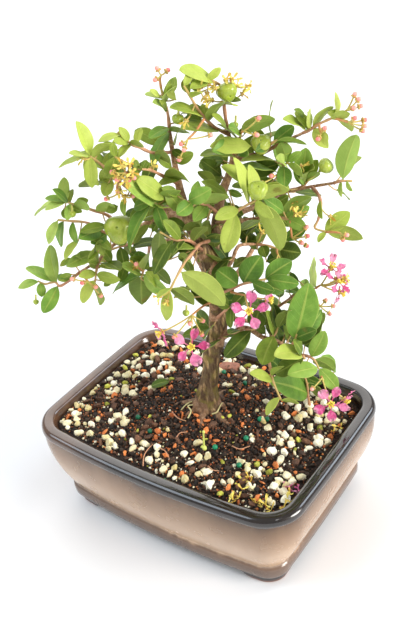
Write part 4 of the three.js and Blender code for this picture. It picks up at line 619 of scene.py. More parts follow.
def smoothed(rows, steps=5):
    """A smooth row of points through the given ones."""
    rows = np.asarray(rows, float)
    padded = np.vstack([2 * rows[0] - rows[1], rows, 2 * rows[-1] - rows[-2]])
    share = np.linspace(0, 1, steps, endpoint=False)[:, None]
    spans = []
    for before, start, end, after in zip(padded, padded[1:], padded[2:], padded[3:]):
        bend = 2 * before - 5 * start + 4 * end - after
        twist = 3 * start - before - 3 * end + after
        spans.append(start + 0.5 * ((end - before) * share + bend * share ** 2 + twist * share ** 3))
    return np.vstack([*spans, rows[-1]])


class Skin:
    """The points, faces and values per point of one piece, gathered shape by shape."""

    def __init__(self):
        self.points, self.faces, self.places, self.tones = [], [], [], []
        self.count = 0

    def add(self, shape, tone=0.5, places=None):
        points, faces = shape
        self.points.append(points)
        self.faces += [np.asarray(block) + self.count for block in faces]
        self.places.append(np.zeros((len(points), 3)) if places is None else places)
        self.tones.append(np.broadcast_to(np.asarray(tone, float), len(points)))
        self.count += len(points)

    def piece(self, name, material, slot, *nodes):
        mesh = bpy.data.meshes.new(name)
        faces = [face for block in self.faces for face in block.tolist()]
        mesh.from_pydata((np.vstack(self.points) * MM).tolist(), [], faces)
        turn_outwards(mesh)
        places = mesh.attributes.new("place", "FLOAT_VECTOR", "POINT")
        places.data.foreach_set("vector", np.vstack(self.places).astype(np.float32).ravel())
        tones = mesh.attributes.new("tone", "FLOAT", "POINT")
        tones.data.foreach_set("value", np.concatenate(self.tones).astype(np.float32))
        return placed(name, mesh, material, slot, *nodes)


def turn_outwards(mesh):
    work = bmesh.new()
    work.from_mesh(mesh)
    bmesh.ops.recalc_face_normals(work, faces=work.faces)
    work.to_mesh(mesh)
    work.free()
    mesh.shade_smooth()


def placed(name, mesh, material, slot, *nodes):
    """Puts a finished mesh into the scene as a piece that stands for some of the part's nodes."""
    mesh.materials.clear()
    mesh.materials.append(material)
    thing = bpy.data.objects.new(name, mesh)
    bpy.context.scene.collection.objects.link(thing)
    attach(thing, "root")
    if nodes:
        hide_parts(*nodes)
    return thing


def swept(start, rings, end):
    """A closed skin through rings of equally many points, drawn to a point at each end."""
    rings = np.asarray(rings, float)
    count, size = rings.shape[:2]
    points = np.vstack([start, rings.reshape(-1, 3), end])
    here = 1 + np.arange(count)[:, None] * size + np.arange(size)[None]
    beside = np.roll(here, -1, axis=1)
    sides = np.stack([here[:-1], beside[:-1], beside[1:], here[1:]], axis=-1).reshape(-1, 4)
    first = np.stack([np.zeros(size, int), beside[0], here[0]], axis=-1)
    last = np.stack([here[-1], beside[-1], np.full(size, len(points) - 1)], axis=-1)
    return points, [sides, first, last]


def tube(path, radii, sides=8):
    """A round bar along a path, with a radius at each point."""
    along = np.gradient(path, axis=0)
    along /= np.linalg.norm(along, axis=1)[:, None]
    turns = np.arange(sides) / sides * 2 * math.pi
    normal = np.array([0.31, 0.87, 0.38])
    rings = []
    for place, forward, radius in zip(path, along, radii):
        normal = unit(normal - (normal @ forward) * forward)
        across = np.cross(forward, normal)
        rings.append(place + radius * (np.outer(np.cos(turns), normal) + np.outer(np.sin(turns), across)))
    start = path[0] - along[0] * radii[0] * 0.5
    end = path[-1] + along[-1] * radii[-1] * 0.5
    return swept(start, rings, end)


def joint_line(points, start, end, sag=0.0):
    """A short stalk's path from one place to another, which may sag on its way."""
    share = np.linspace(0, 1, points)[:, None]
    droop = np.array([0, 0, -sag]) * (4 * share * (1 - share))
    return start + (end - start) * share + droop


def add_stalk(skin, start, end, radius, tone, points=8, sides=6, sag=0.0):
    """A short even stalk between two places."""
    skin.add(tube(joint_line(points, start, end, sag), [radius] * points, sides), tone)


def sheet(rows, columns):
    """The faces of a thin closed sheet with an upper and a lower grid of points."""
    here = np.arange(rows * columns).reshape(rows, columns)
    below = here + rows * columns
    top = np.stack([here[:-1, :-1], here[:-1, 1:], here[1:, 1:], here[1:, :-1]], axis=-1)
    bottom = np.stack([below[:-1, :-1], below[1:, :-1], below[1:, 1:], below[:-1, 1:]], axis=-1)
    edge = np.concatenate([here[0, :-1], here[:-1, -1], here[-1, :0:-1], here[:0:-1, 0]])
    following = np.roll(edge, -1)
    rim = np.stack([edge, edge + rows * columns, following + rows * columns, following], axis=-1)
    return [top.reshape(-1, 4), bottom.reshape(-1, 4), rim]


def blade(base, tip, side, normal, half_widths, shape, thickness):
    """The points of a leaf or petal, with its place along and across it and which face it is on.

    half_widths gives the half width at each row. shape names how far it arches and folds, how
    its edge curls down, and the height, count and start of the waves along its edge, as shares
    of its length or half width.
    """
    rows = len(half_widths)
    along = BLADE_ROWS[rows][:, None]
    across = BLADE_COLUMNS[None]
    reach = np.asarray(half_widths)[:, None]
    span = tip - base
    length = np.linalg.norm(span)
    outwards = np.abs(across)
    phase = shape["waves"] * along * 2 * math.pi + shape["start"] + 2.2 * np.sign(across)
    wave = shape["wave"] * np.sin(phase)
    rise = shape["fold"] * outwards ** 1.15 - shape["curl"] * across ** 4 + wave * outwards ** 2.5
    lift = shape["arch"] * length * 4 * along * (1 - along) - shape["nod"] * length * along ** 3
    bend = shape["bend"] * length * 4 * along * (1 - along)
    ragged = along + shape["frill"] * along ** 6 * np.sin(9 * across + shape["start"])
    place = (base + ragged[..., None] * span + (lift + rise * reach)[..., None] * normal
             + (across * reach * (1 - 0.25 * shape["fold"]) + bend)[..., None] * side)
    place = place.reshape(-1, 3)
    grid = np.stack([np.broadcast_to(along, (rows, len(BLADE_COLUMNS))),
                     np.broadcast_to(across, (rows, len(BLADE_COLUMNS)))], axis=-1).reshape(-1, 2)
    upper = np.column_stack([grid, np.zeros(len(grid))])
    lower = np.column_stack([grid, np.ones(len(grid))])
    points = np.vstack([place, place - normal * thickness])
    return (points, BLADE_FACES[rows]), np.vstack([upper, lower])


BLADE_COLUMNS = np.array([-1, -0.93, -0.7, -0.38, -0.07, 0.07, 0.38, 0.7, 0.93, 1])
LEAF_ROWS = 15
PETAL_ROWS = 13


def spaced(count):
    """Shares of a length, closer together near its two ends."""
    even = np.linspace(0, 1, count)
    return 0.55 * even + 0.45 * (1 - np.cos(math.pi * even)) / 2


LEAF_SHAPES = {
    "arch": (0.04, 0.1), "fold": (0.1, 0.34), "curl": (0.02, 0.14), "wave": (0.02, 0.07),
    "waves": (1.2, 2.6), "start": (0, 6.28), "nod": (0, 0.04), "bend": (-0.035, 0.035),
}
PETAL_SHAPES = {
    "arch": (-0.08, 0.04), "fold": (-0.1, 0.7), "curl": (-0.35, 0.35), "wave": (0.3, 0.55),
    "waves": (2.5, 4.0), "start": (0, 6.28), "nod": (-0.16, 0.16), "bend": (-0.07, 0.07),
    "frill": (0.06, 0.13),
}
BLADE_ROWS = {count: spaced(count) for count in (LEAF_ROWS, PETAL_ROWS)}
BLADE_FACES = {count: sheet(count, len(BLADE_COLUMNS)) for count in (LEAF_ROWS, PETAL_ROWS)}


def leaf_outline(width, point):
    """Half the width of a leaf at each row: a thin stalk, then an oval blade with a more or less
    pointed tip."""
    stalk_share = 0.07
    along = np.clip((BLADE_ROWS[LEAF_ROWS] - stalk_share) / (1 - stalk_share), 0, 1)
    oval = 0.5 * width * (4 * along * (1 - along)) ** 0.54
    taper = np.clip((1 - along) / 0.3, 0, 1) * 0.5 * width * 0.92
    pointed = np.where(along > 0.7, (1 - point) * oval + point * np.minimum(oval, taper), oval)
    return np.maximum(pointed, np.where(along > 0.5, 0.12, 0.42))


def petal_outline(width):
    """Half the width of a petal at each row: a narrow claw, then a broad round limb."""
    along = BLADE_ROWS[PETAL_ROWS]
    limb = np.clip((along - 0.38) / 0.62, 0, 1)
    widening = np.sin(0.5 * math.pi * np.clip(limb / 0.62, 0, 1)) ** 0.8
    closing = np.sqrt(np.clip(1 - np.clip((limb - 0.62) / 0.38, 0, 1) ** 2, 0, 1))
    return np.maximum(0.5 * width * widening * closing, np.where(limb > 0.5, 0.6, 0.4))


def leaf_frame(twig_points, row):
    """The base, tip, side, normal and width of a leaf that is turned until it looks as wide as it
    does to the viewer."""
    base_column, base_row, tip_column, tip_row, towards, seen_width = row
    seen = seen_at(twig_points)
    nearest = np.hypot(seen[:, 0] - base_column, seen[:, 1] - base_row).argmin()
    base = twig_points[nearest]
    tip = sight([tip_column, tip_row, towards])
    span = tip - base
    along = unit(span)
    view = unit(EYE - tip)
    flat_side = unit(np.cross(along, view))
    edge_side = np.cross(along, flat_side)
    seen_size = LEAF_FULLNESS * seen_width * frame_scale(tip)
    width = max(seen_size, LEAF_WIDTH_TO_LENGTH * np.linalg.norm(span))
    turn = math.acos(seen_size / width)
    side = flat_side * math.cos(turn) + edge_side * math.sin(turn)
    normal = np.cross(along, side)
    if normal[2] < 0:
        normal = -normal
    return base, tip, side, normal, width


def blade_shape(ranges, luck):
    """One leaf's or petal's shape, drawn from the ranges that such blades have."""
    shape = {"frill": 0}
    for name, (low, high) in ranges.items():
        shape[name] = luck.uniform(low, high)
    return shape


def add_leaf(skin, base, tip, side, normal, outline, luck, tone):
    """One leaf, bent and waved by chance."""
    bends = blade_shape(LEAF_SHAPES, luck)
    shape, places = blade(base, tip, side, normal, outline, bends, LEAF_SHEET_THICKNESS)
    skin.add(shape, tone, places)


def spoke(axes, turn):
    """The direction across an axis at an angle in radians."""
    _, reference, upward = axes
    return reference * math.cos(turn) + upward * math.sin(turn)


def shade(red, green, blue):
    """A colour as a screen shows it, from 0 to 255, as amounts of light."""
    parts = np.array([red, green, blue]) / 255
    light = np.where(parts < 0.04045, parts / 12.92, ((parts + 0.055) / 1.055) ** 2.4)
    return (*light.tolist(), 1.0)


class Look:
    """A node material: each method adds a node and gives the socket it feeds others from."""

    def __init__(self, name):
        self.material = bpy.data.materials.new(name)
        self.material.use_nodes = True
        self.tree = self.material.node_tree
        self.tree.nodes.clear()
        self.object_place = self.node("ShaderNodeTexCoord").outputs["Object"]

    def node(self, kind, inputs=(), **settings):
        made = self.tree.nodes.new(kind)
        for key, value in settings.items():
            setattr(made, key, value)
        for key, value in dict(inputs).items():
            if isinstance(value, bpy.types.NodeSocket):
                self.tree.links.new(value, made.inputs[key])
            else:
                made.inputs[key].default_value = value
        return made

    def maths(self, operation, first, second=0.0, third=0.0):
        made = self.node("ShaderNodeMath", {0: first, 1: second, 2: third}, operation=operation)
        return made.outputs[0]

    def times(self, first, second):
        return self.maths("MULTIPLY", first, second)

    def plus(self, first, second):
        return self.maths("ADD", first, second)

    def times_plus(self, first, factor, more):
        return self.maths("MULTIPLY_ADD", first, factor, more)

    def stretched(self, factors):
        made = self.node("ShaderNodeMapping", {"Vector": self.object_place, "Scale": factors})
        return made.outputs["Vector"]

    def noise(self, scale, detail=3.0, factors=(1, 1, 1), roughness=0.55):
        inputs = {"Vector": self.stretched(factors), "Scale": scale, "Detail": detail,
                  "Roughness": roughness}
        return self.node("ShaderNodeTexNoise", inputs).outputs[0]

    def cells(self, scale, factors=(1, 1, 1)):
        """The distance to the nearest of many scattered points."""
        inputs = {"Vector": self.stretched(factors), "Scale": scale}
        return self.node("ShaderNodeTexVoronoi", inputs).outputs["Distance"]

    def fade(self, value, low, high, to_low=0.0, to_high=1.0):
        """A value spread from one range to another and held at its ends."""
        inputs = {"Value": value, "From Min": low, "From Max": high, "To Min": to_low, "To Max": to_high}
        return self.node("ShaderNodeMapRange", inputs).outputs[0]

    def ramp(self, value, stops):
        made = self.node("ShaderNodeValToRGB", {0: value})
        marks = made.color_ramp.elements
        while len(marks) < len(stops):
            marks.new(1.0)
        for mark, (position, colour) in zip(marks, stops):
            mark.position = position
            mark.color = shade(*colour)
        return made.outputs[0]

    def mix(self, share, first, second):
        """Two colours mixed, of which the second may be given as a screen shows it."""
        if isinstance(second, tuple):
            second = shade(*second)
        return self.node("ShaderNodeMix", {0: share, 6: first, 7: second}, data_type="RGBA").outputs[2]

    def value(self, name):
        return self.node("ShaderNodeAttribute", attribute_name=name).outputs["Fac"]

    def parts(self, vector):
        return self.node("ShaderNodeSeparateXYZ", {0: vector}).outputs

    def blade_place(self):
        """The place along and across a leaf or petal, and 1 on its lower face."""
        vector = self.node("ShaderNodeAttribute", attribute_name="place").outputs["Vector"]
        return self.parts(vector)

    def bump(self, height, distance, strength=1.0):
        inputs = {"Height": height, "Distance": distance, "Strength": strength}
        return self.node("ShaderNodeBump", inputs).outputs[0]

    def principled(self, colour, roughness, normal=None, **others):
        inputs = {"Base Color": colour, "Roughness": roughness}
        if normal is not None:
            inputs["Normal"] = normal
        inputs.update({key.replace("_", " "): value for key, value in others.items()})
        return self.node("ShaderNodeBsdfPrincipled", inputs).outputs[0]

    def see_through(self, front, colour, share, normal=None):
        """A shader that lets a share of the light pass through in a colour."""
        inputs = {"Color": colour}
        if normal is not None:
            inputs["Normal"] = normal
        passing = self.node("ShaderNodeBsdfTranslucent", inputs).outputs[0]
        return self.node("ShaderNodeMixShader", {0: share, 1: front, 2: passing}).outputs[0]

    def done(self, shader):
        self.node("ShaderNodeOutputMaterial", {"Surface": shader})
        return self.material


WALL_TONES = [
    (0.0, (96, 78, 66)), (0.2, (104, 84, 71)), (0.245, (118, 93, 76)), (0.27, (190, 160, 131)),
    (0.36, (200, 167, 135)), (0.5, (184, 152, 121)), (0.62, (160, 129, 100)), (0.75, (136, 107, 81)),
    (0.84, (114, 88, 65)), (0.91, (84, 61, 43)),
]
# The feet under the base band: reddish at the very bottom, and dark grey above, which is painted shade.
FOOT_SHADE_TONES = [(0.0, (139, 84, 66)), (0.16, (118, 86, 74)), (0.3, (62, 58, 58)), (1.0, (74, 68, 66))]


def pale_groove_light(look, height, body):
    """The wall's colour with a pale line of painted light in the groove above the base band."""
    edge = (BASE_BAND_TOP + BAND_STEP) * MM
    groove = look.times(look.fade(height, edge - 0.0012, edge),
                        look.fade(height, edge + 0.001, edge + 0.0025, 1.0, 0.0))
    return look.mix(look.times(groove, 0.22), body, (224, 204, 182))


def rim_share(look, level, height):
    """Where the rim's dark glaze lies: it ends in a wavy line at the rim's lower edge."""
    rim_bottom = (POT_HEIGHT - RIM_BAND_HEIGHT) * MM
    wavy = look.fade(level, rim_bottom - 0.0008, rim_bottom + 0.0008)
    return look.maths("MAXIMUM", wavy, look.fade(height, rim_bottom, rim_bottom + 0.0006))


def glaze_look():
    """Glossy brown glaze: dark on the rim, tan on the wall, and on the feet dark grey painted shade.

    Towards the left end the dark glaze stops higher, so the wall shows sooner, and the rim is painted a
    lighter brown, a painted sheen.
    """
    look = Look("glaze")
    place = look.parts(look.object_place)
    height = place["Z"]
    # Towards the left end the glaze's bands sit higher and the rim is painted lighter, a painted sheen.
    left_thin_glaze_and_sheen = look.fade(place["X"], THIN_GLAZE_AND_SHEEN_FROM * MM, THIN_GLAZE_AND_SHEEN_TO * MM)
    drift = look.noise(45, detail=4, factors=(1, 1, 0.3))
    level = look.times_plus(look.maths("SUBTRACT", drift, 0.5), 0.012, height)
    level = look.times_plus(left_thin_glaze_and_sheen, -0.004, level)
    # The wall's tones, with a pale line of painted light along the groove.
    body = pale_groove_light(look, height, look.ramp(look.fade(level, 0, POT_HEIGHT * MM), WALL_TONES))
    # The feet are painted dark grey: painted shade under the base band.
    foot = look.ramp(look.fade(height, 0, BASE_BAND_BOTTOM * MM), FOOT_SHADE_TONES)
    on_foot = look.fade(height, (BASE_BAND_BOTTOM - 0.9) * MM, (BASE_BAND_BOTTOM - 0.2) * MM, 1.0, 0.0)
    colour = look.mix(on_foot, body, foot)
    patches = look.noise(70, detail=3)
    thick = look.ramp(patches, [(0.3, (14, 8, 5)), (0.7, (30, 19, 12))])
    # thin: the lighter rim colour towards the left end, a painted sheen.
    thin = look.ramp(patches, [(0.3, (70, 47, 33)), (0.7, (98, 70, 52))])
    on_rim = rim_share(look, level, height)
    colour = look.mix(on_rim, colour, look.mix(left_thin_glaze_and_sheen, thick, thin))
    speck = look.fade(look.cells(420), 0.06, 0.12, 0.55, 0.0)
    colour = look.mix(look.times(speck, look.noise(30)), colour, (60, 46, 38))
    roughness = look.fade(look.noise(90), 0.3, 0.7, 0.13, 0.3)
    roughness = look.maths("MAXIMUM", roughness, look.times(on_foot, 0.6))
    surface = look.times_plus(look.noise(260, detail=2), 0.35, look.noise(26, detail=2))
    normal = look.bump(surface, 0.0006, 0.35)
    coat = look.times_plus(on_rim, 0.35, 0.25)
    return look.done(look.principled(colour, roughness, normal, Coat_Weight=coat, Coat_IOR=1.65,
                                     Coat_Roughness=0.06))


def grain_look(name, dark, light, spot, roughness, grain, pits=0.0004):
    """Rough mineral or bark: two shades by piece and by patch, with spots of a third."""
    look = Look(name)
    patch = look.noise(grain * 0.35, detail=4)
    level = look.plus(look.times(patch, 0.7), look.times(look.value("tone"), 0.6))
    colour = look.ramp(level, [(0.3, dark), (0.85, light)])
    spots = look.fade(look.noise(grain, detail=2), 0.58, 0.68)
    colour = look.mix(look.times(spots, 0.7), colour, spot)
    normal = look.bump(look.noise(grain, detail=5, roughness=0.7), pits)
    return look.done(look.principled(colour, roughness, normal))


def soil_look():
    """Fine wet potting mix, near black between the grains."""
    look = Look("soil")
    fine = look.noise(700, detail=6, roughness=0.75)
    tones = [(0.3, (20, 14, 11)), (0.5, (48, 33, 24)), (0.62, (76, 50, 34)), (0.74, (120, 72, 44))]
    colour = look.ramp(fine, tones)
    crumbs = look.fade(look.cells(620), 0.1, 0.24, 0.6, 0.0)
    colour = look.mix(crumbs, colour, (26, 19, 16))
    normal = look.bump(look.plus(fine, look.cells(500)), 0.0011)
    return look.done(look.principled(colour, 0.8, normal))


def bark_look():
    """Tan bark with long dark cracks, which gives way to smooth pale skin on thin limbs."""
    look = Look("bark")
    thin = look.value("tone")
    long_noise = look.noise(640, detail=5, factors=(1, 1, 0.2), roughness=0.7)
    old_tones = [(0.3, (80, 56, 38)), (0.43, (146, 112, 76)), (0.56, (194, 160, 112)),
                 (0.7, (226, 200, 154))]
    old = look.ramp(long_noise, old_tones)
    cracks = look.fade(look.cells(330, factors=(1, 1, 0.3)), 0.0, 0.5)
    old = look.mix(look.fade(cracks, 0.55, 0.95, 0.0, 0.75), old, (52, 36, 25))
    young_tones = [(0.3, (128, 88, 62)), (0.5, (176, 132, 98)), (0.7, (216, 178, 144))]
    young = look.ramp(look.noise(500, detail=4), young_tones)
    dots = look.fade(look.cells(900), 0.1, 0.2, 0.6, 0.0)
    young = look.mix(dots, young, (222, 198, 170))
    colour = look.mix(thin, old, young)
    low = look.fade(look.parts(look.object_place)["Z"], 0.075, 0.115, 1.0, 0.0)
    colour = look.mix(look.times(low, 0.45), colour, (70, 48, 32))
    moss = look.times(look.fade(look.noise(140, detail=4), 0.5, 0.66, 0.0, 0.35),
                      look.fade(thin, 0.0, 0.3, 1.0, 0.0))
    colour = look.mix(moss, colour, (150, 140, 50))
    normal = look.bump(look.maths("SUBTRACT", long_noise, look.times(cracks, 0.6)), 0.0009)
    return look.done(look.principled(colour, 0.82, normal))


def twig_look():
    """Thin young wood: reddish brown, greener towards its tip, with pale dots."""
    look = Look("twig_skin")
    tone = look.value("tone")
    level = look.times_plus(look.noise(350), 0.5, look.times(tone, 0.6))
    colour = look.ramp(level, [(0.2, (150, 102, 74)), (0.5, (200, 146, 112)), (0.85, (186, 164, 90))])
    dots = look.fade(look.cells(1100), 0.08, 0.16, 0.7, 0.0)
    colour = look.mix(dots, colour, (224, 200, 172))
    normal = look.bump(look.noise(900, detail=3), 0.0002)
    return look.done(look.principled(colour, 0.6, normal))


# Leaves are painted paler over a span of heights and over a span of the pot's length, both in metres:
# painted light on the top and the left of the crown.
PAINTED_LIGHT_FROM_TOP = (0.19, 0.28)
PAINTED_LIGHT_FROM_LEFT = (-0.02, -0.09)
PAINTED_LIGHT_PALENESS = 0.2
LEAF_TINTS = {
    "leaf_bright": [(0.0, (62, 82, 30)), (0.25, (110, 136, 50)), (0.5, (152, 176, 72)),
                    (0.75, (182, 200, 88)), (1.0, (204, 218, 108))],
    "leaf_green": [(0.0, (38, 68, 28)), (0.25, (80, 120, 46)), (0.5, (118, 160, 64)),
                   (0.75, (158, 192, 88)), (1.0, (208, 228, 126))],
    "leaf_dark": [(0.0, (46, 64, 26)), (0.25, (88, 112, 40)), (0.5, (132, 154, 56)),
                  (0.75, (172, 192, 78)), (1.0, (210, 220, 112))],
}


def leaf_look(slot):
    """A waxy leaf: a pale midrib, slanting veins and a paler lower face, by the leaf's own tone.

    Leaves near the top and near the left end are painted paler, as painted light.
    """
    look = Look(slot)
    along, across, under = list(look.blade_place())
    across = look.maths("ABSOLUTE", across)
    tone = look.times_plus(look.maths("SUBTRACT", look.noise(140), 0.5), 0.6, look.value("tone"))
    place = look.parts(look.object_place)
    # young: the paleness near the top and the left end, which is painted light.
    young = look.maths("MAXIMUM", look.fade(place["Z"], *PAINTED_LIGHT_FROM_TOP, 0.0, PAINTED_LIGHT_PALENESS),
                       look.fade(place["X"], *PAINTED_LIGHT_FROM_LEFT, 0.0, PAINTED_LIGHT_PALENESS))
    tone = look.plus(tone, young)
    colour = look.ramp(tone, LEAF_TINTS[slot])
    slant = look.times_plus(across, -0.22, along)
    veins = look.fade(look.maths("PINGPONG", look.times(slant, 8.5), 0.5), 0.0, 0.09, 1.0, 0.0)
    veins = look.times(veins, look.fade(across, 0.55, 0.95, 1.0, 0.0))
    net = look.fade(look.cells(900), 0.0, 0.5, 0.0, 1.0)
    midrib = look.fade(across, 0.05, 0.11, 1.0, 0.0)
    light = look.mix(0.5, colour, (206, 214, 110))
    colour = look.mix(look.times(veins, 0.22), colour, light)
    colour = look.mix(look.times(midrib, 0.75), colour, light)
    colour = look.mix(look.times(net, 0.1), colour, (96, 120, 40))
    colour = look.mix(look.times(under, 0.4), colour, (170, 186, 96))
    edge = look.fade(across, 0.9, 1.0, 0.0, 0.3)
    colour = look.mix(edge, colour, (206, 206, 112))
    blemish = look.times(look.fade(look.noise(75, detail=5), 0.66, 0.72), 0.6)
    colour = look.mix(blemish, colour, (148, 128, 60))
    ribs = look.plus(look.times(veins, 0.5), midrib)
    normal = look.bump(look.times_plus(net, 0.2, ribs), 0.00025, 0.6)
    roughness = look.fade(look.noise(220), 0.3, 0.7, 0.36, 0.54)
    front = look.principled(colour, roughness, normal, Specular_IOR_Level=0.2)
    return look.done(look.see_through(front, look.mix(0.35, colour, (214, 232, 90)), 0.24, normal))


def petal_look():
    """Pink crepe petals: deeper towards the claw, with fine veins, paler frills and a painted highlight on
    the raised crumples.
    """
    look = Look("petal")
    along, across, _ = list(look.blade_place())
    tone = look.times_plus(look.noise(260), 0.3, look.value("tone"))
    tints = [(0.25, (200, 54, 120)), (0.5, (228, 88, 154)), (0.75, (242, 130, 186)), (1.0, (254, 192, 220))]
    colour = look.ramp(tone, tints)
    streaks = look.maths("PINGPONG", look.times(look.maths("ABSOLUTE", across), 4.0), 0.5)
    colour = look.mix(look.fade(streaks, 0.0, 0.14, 0.35, 0.0), colour, (216, 70, 130))
    colour = look.mix(look.fade(along, 0.2, 0.5, 0.55, 0.0), colour, (206, 60, 112))
    colour = look.mix(look.fade(along, 0.86, 1.0, 0.0, 0.5), colour, (255, 206, 220))
    crumple_and_highlight = look.noise(520, detail=4)
    # Paler pink on the raised parts of the crumples is a painted highlight.
    colour = look.mix(look.fade(crumple_and_highlight, 0.5, 0.72, 0.0, 0.5), colour, (255, 196, 222))
    normal = look.bump(crumple_and_highlight, 0.0012)
    front = look.principled(colour, 0.6, normal, Sheen_Weight=0.2)
    return look.done(look.see_through(front, look.mix(0.4, colour, (255, 130, 180)), 0.3, normal))


def simple_look(name, dark, light, roughness, scale=500):
    """A small smooth thing in two shades, mixed by a fine noise and by its own tone."""
    look = Look(name)
    level = look.times_plus(look.value("tone"), 0.6, look.times(look.noise(scale, detail=4), 0.6))
    colour = look.ramp(level, [(0.3, dark), (0.8, light)])
    normal = look.bump(look.noise(scale * 2, detail=3), 0.0002)
    return look.done(look.principled(colour, roughness, normal))


def fruit_look():
    """Glossy unripe fruit, lighter in patches, with fine pale dots."""
    look = Look("fruit_skin")
    tints = [(0.3, (122, 140, 46)), (0.55, (162, 178, 66)), (0.75, (200, 208, 102))]
    colour = look.ramp(look.noise(110, detail=3), tints)
    dots = look.fade(look.cells(800), 0.08, 0.15, 0.45, 0.0)
    colour = look.mix(dots, colour, (212, 222, 148))
    normal = look.bump(look.noise(500, detail=2), 0.0002)
    roughness = look.fade(look.noise(300), 0.3, 0.7, 0.2, 0.34)
    return look.done(look.principled(colour, roughness, normal, Subsurface_Weight=0.12,
                                     Subsurface_Radius=(0.002, 0.003, 0.001)))


def screen_look():
    """The moulded plastic of the drain screens, a little scuffed."""
    look = Look("screen_plastic")
    colour = look.ramp(look.noise(300, detail=4), [(0.35, (26, 27, 29)), (0.7, (52, 52, 54))])
    normal = look.bump(look.noise(1200, detail=2), 0.0001)
    roughness = look.fade(look.noise(400), 0.3, 0.7, 0.45, 0.7)
    return look.done(look.principled(colour, roughness, normal))


def floor_look():
    """Plain pale paper."""
    look = Look("floor")
    colour = look.ramp(look.noise(3, detail=2), [(0.3, (234, 234, 235)), (0.7, (239, 239, 239))])
    roughness = look.fade(look.noise(40), 0.3, 0.7, 0.75, 0.85)
    return look.done(look.principled(colour, roughness, Specular_IOR_Level=0.1))


# Grains: the material's name, its dark, light and spot colours, roughness, grain and depth of pits.
GRAIN_LOOKS = {
    "pumice": ("pumice", (204, 186, 122), (255, 250, 226), (240, 222, 156), 0.9, 900),
    "clay": ("clay", (136, 62, 30), (232, 136, 72), (246, 176, 110), 0.85, 900),
    "bark_bits": ("bark_bits", (34, 24, 17), (108, 74, 54), (150, 104, 70), 0.75, 800),
    "moss": ("moss", (110, 112, 30), (206, 206, 84), (230, 224, 120), 0.9, 900),
    "dark_bits": ("dark_bits", (16, 12, 9), (62, 48, 36), (44, 33, 24), 0.8, 1000, 0.0006),
    "chip": ("chip_bark", (112, 70, 56), (172, 116, 94), (92, 56, 44), 0.8, 500),
}
# Small smooth things: the material's name, its dark and light colours, roughness and grain.
SIMPLE_LOOKS = {
    "stalk": ("stalk_skin", (206, 122, 84), (196, 190, 96), 0.5),
    "green_stalk": ("green_stalk_skin", (150, 134, 62), (206, 214, 110), 0.5),
    "bud": ("bud_skin", (232, 104, 110), (250, 176, 160), 0.45, 350),
    "stamen": ("stamen_skin", (214, 190, 60), (250, 226, 96), 0.55),
    "withered": ("withered_petal", (208, 164, 58), (244, 228, 118), 0.7),
    "pellet": ("pellet_coat", (10, 92, 62), (30, 138, 96), 0.32, 300),
    "pale_root": ("pale_root_skin", (176, 164, 104), (226, 220, 164), 0.6),
}


def all_looks():
    looks = {
        "glaze": glaze_look(), "soil": soil_look(), "bark": bark_look(), "twig": twig_look(),
        "petal": petal_look(), "fruit": fruit_look(), "screen": screen_look(), "floor": floor_look(),
    }
    looks.update({slot: leaf_look(slot) for slot in LEAF_TINTS})
    looks.update({kind: grain_look(*row) for kind, row in GRAIN_LOOKS.items()})
    looks.update({kind: simple_look(*row) for kind, row in SIMPLE_LOOKS.items()})
    return looks


CORNER_STEPS = 12
SIDE_STEPS = 56


def rounded(half_length, half_width, radius):
    """Points round a level outline with rounded corners, whose sides bow outwards."""
    points = []
    for sign_x, sign_y, quarter in ((1, 1, 0), (-1, 1, 1), (-1, -1, 2), (1, -1, 3)):
        for step in range(CORNER_STEPS + 1):
            turn = (quarter + step / CORNER_STEPS) * math.pi / 2
            points.append((sign_x * (half_length - radius) + radius * math.cos(turn),
                           sign_y * (half_width - radius) + radius * math.sin(turn)))
        for step in range(1, SIDE_STEPS):
            part = 1 - 2 * step / SIDE_STEPS
            if quarter % 2 == 0:
                points.append((sign_x * (half_length - radius) * part, sign_y * half_width))
            else:
                points.append((sign_x * half_length, sign_y * (half_width - radius) * part))
    x, y = np.array(points).T
    return np.stack([x * (1 - SHORT_SIDE_BOW * (y / half_width) ** 2),
                     y * (1 - LONG_SIDE_BOW * (x / half_length) ** 2)], axis=1)


def ring(half_length, half_width, radius, height):
    outline = rounded(half_length, half_width, radius)
    return np.column_stack([outline, np.broadcast_to(height, len(outline))])


def rim_ring(inset, height):
    return ring(POT_HALF_LENGTH - inset, POT_HALF_WIDTH - inset, RIM_CORNER_RADIUS - inset, height)


def base_ring(inset, height):
    return ring(BASE_HALF_LENGTH - inset, BASE_HALF_WIDTH - inset, BASE_CORNER_RADIUS - 0.3 * inset, height)


def wall_ring(height):
    """The outside of the wall, which swells from the groove above the base band to the rim."""
    groove = BASE_BAND_TOP + BAND_STEP
    rise = (height - groove) / (POT_HEIGHT - RIM_BAND_HEIGHT - groove)
    swell = 1 - (1 - min(rise / BELLY_HEIGHT_SHARE, 1)) ** BELLY_ROUNDNESS

    def between(low, high):
        return low - BAND_STEP + (high - RIM_OVERHANG - low + BAND_STEP) * swell

    radius = BASE_CORNER_RADIUS + (RIM_CORNER_RADIUS - RIM_OVERHANG - BASE_CORNER_RADIUS) * swell
    half_length = between(BASE_HALF_LENGTH, POT_HALF_LENGTH)
    half_width = between(BASE_HALF_WIDTH, POT_HALF_WIDTH)
    return ring(half_length, half_width, radius, height)


def hollow_ring(height, clearance=0.0):
    """The inside of the wall, or a place that is clear of it, down to the rounded floor."""
    rise = min((height - FLOOR_TOP) / (POT_HEIGHT - FLOOR_TOP), 1)
    inset = RIM_WIDTH + clearance + FLOOR_INSET * (1 - rise) ** HOLLOW_ROUNDNESS
    radius = RIM_CORNER_RADIUS - RIM_WIDTH - 4 * (1 - rise)
    return ring(POT_HALF_LENGTH - inset, POT_HALF_WIDTH - inset, radius, height)


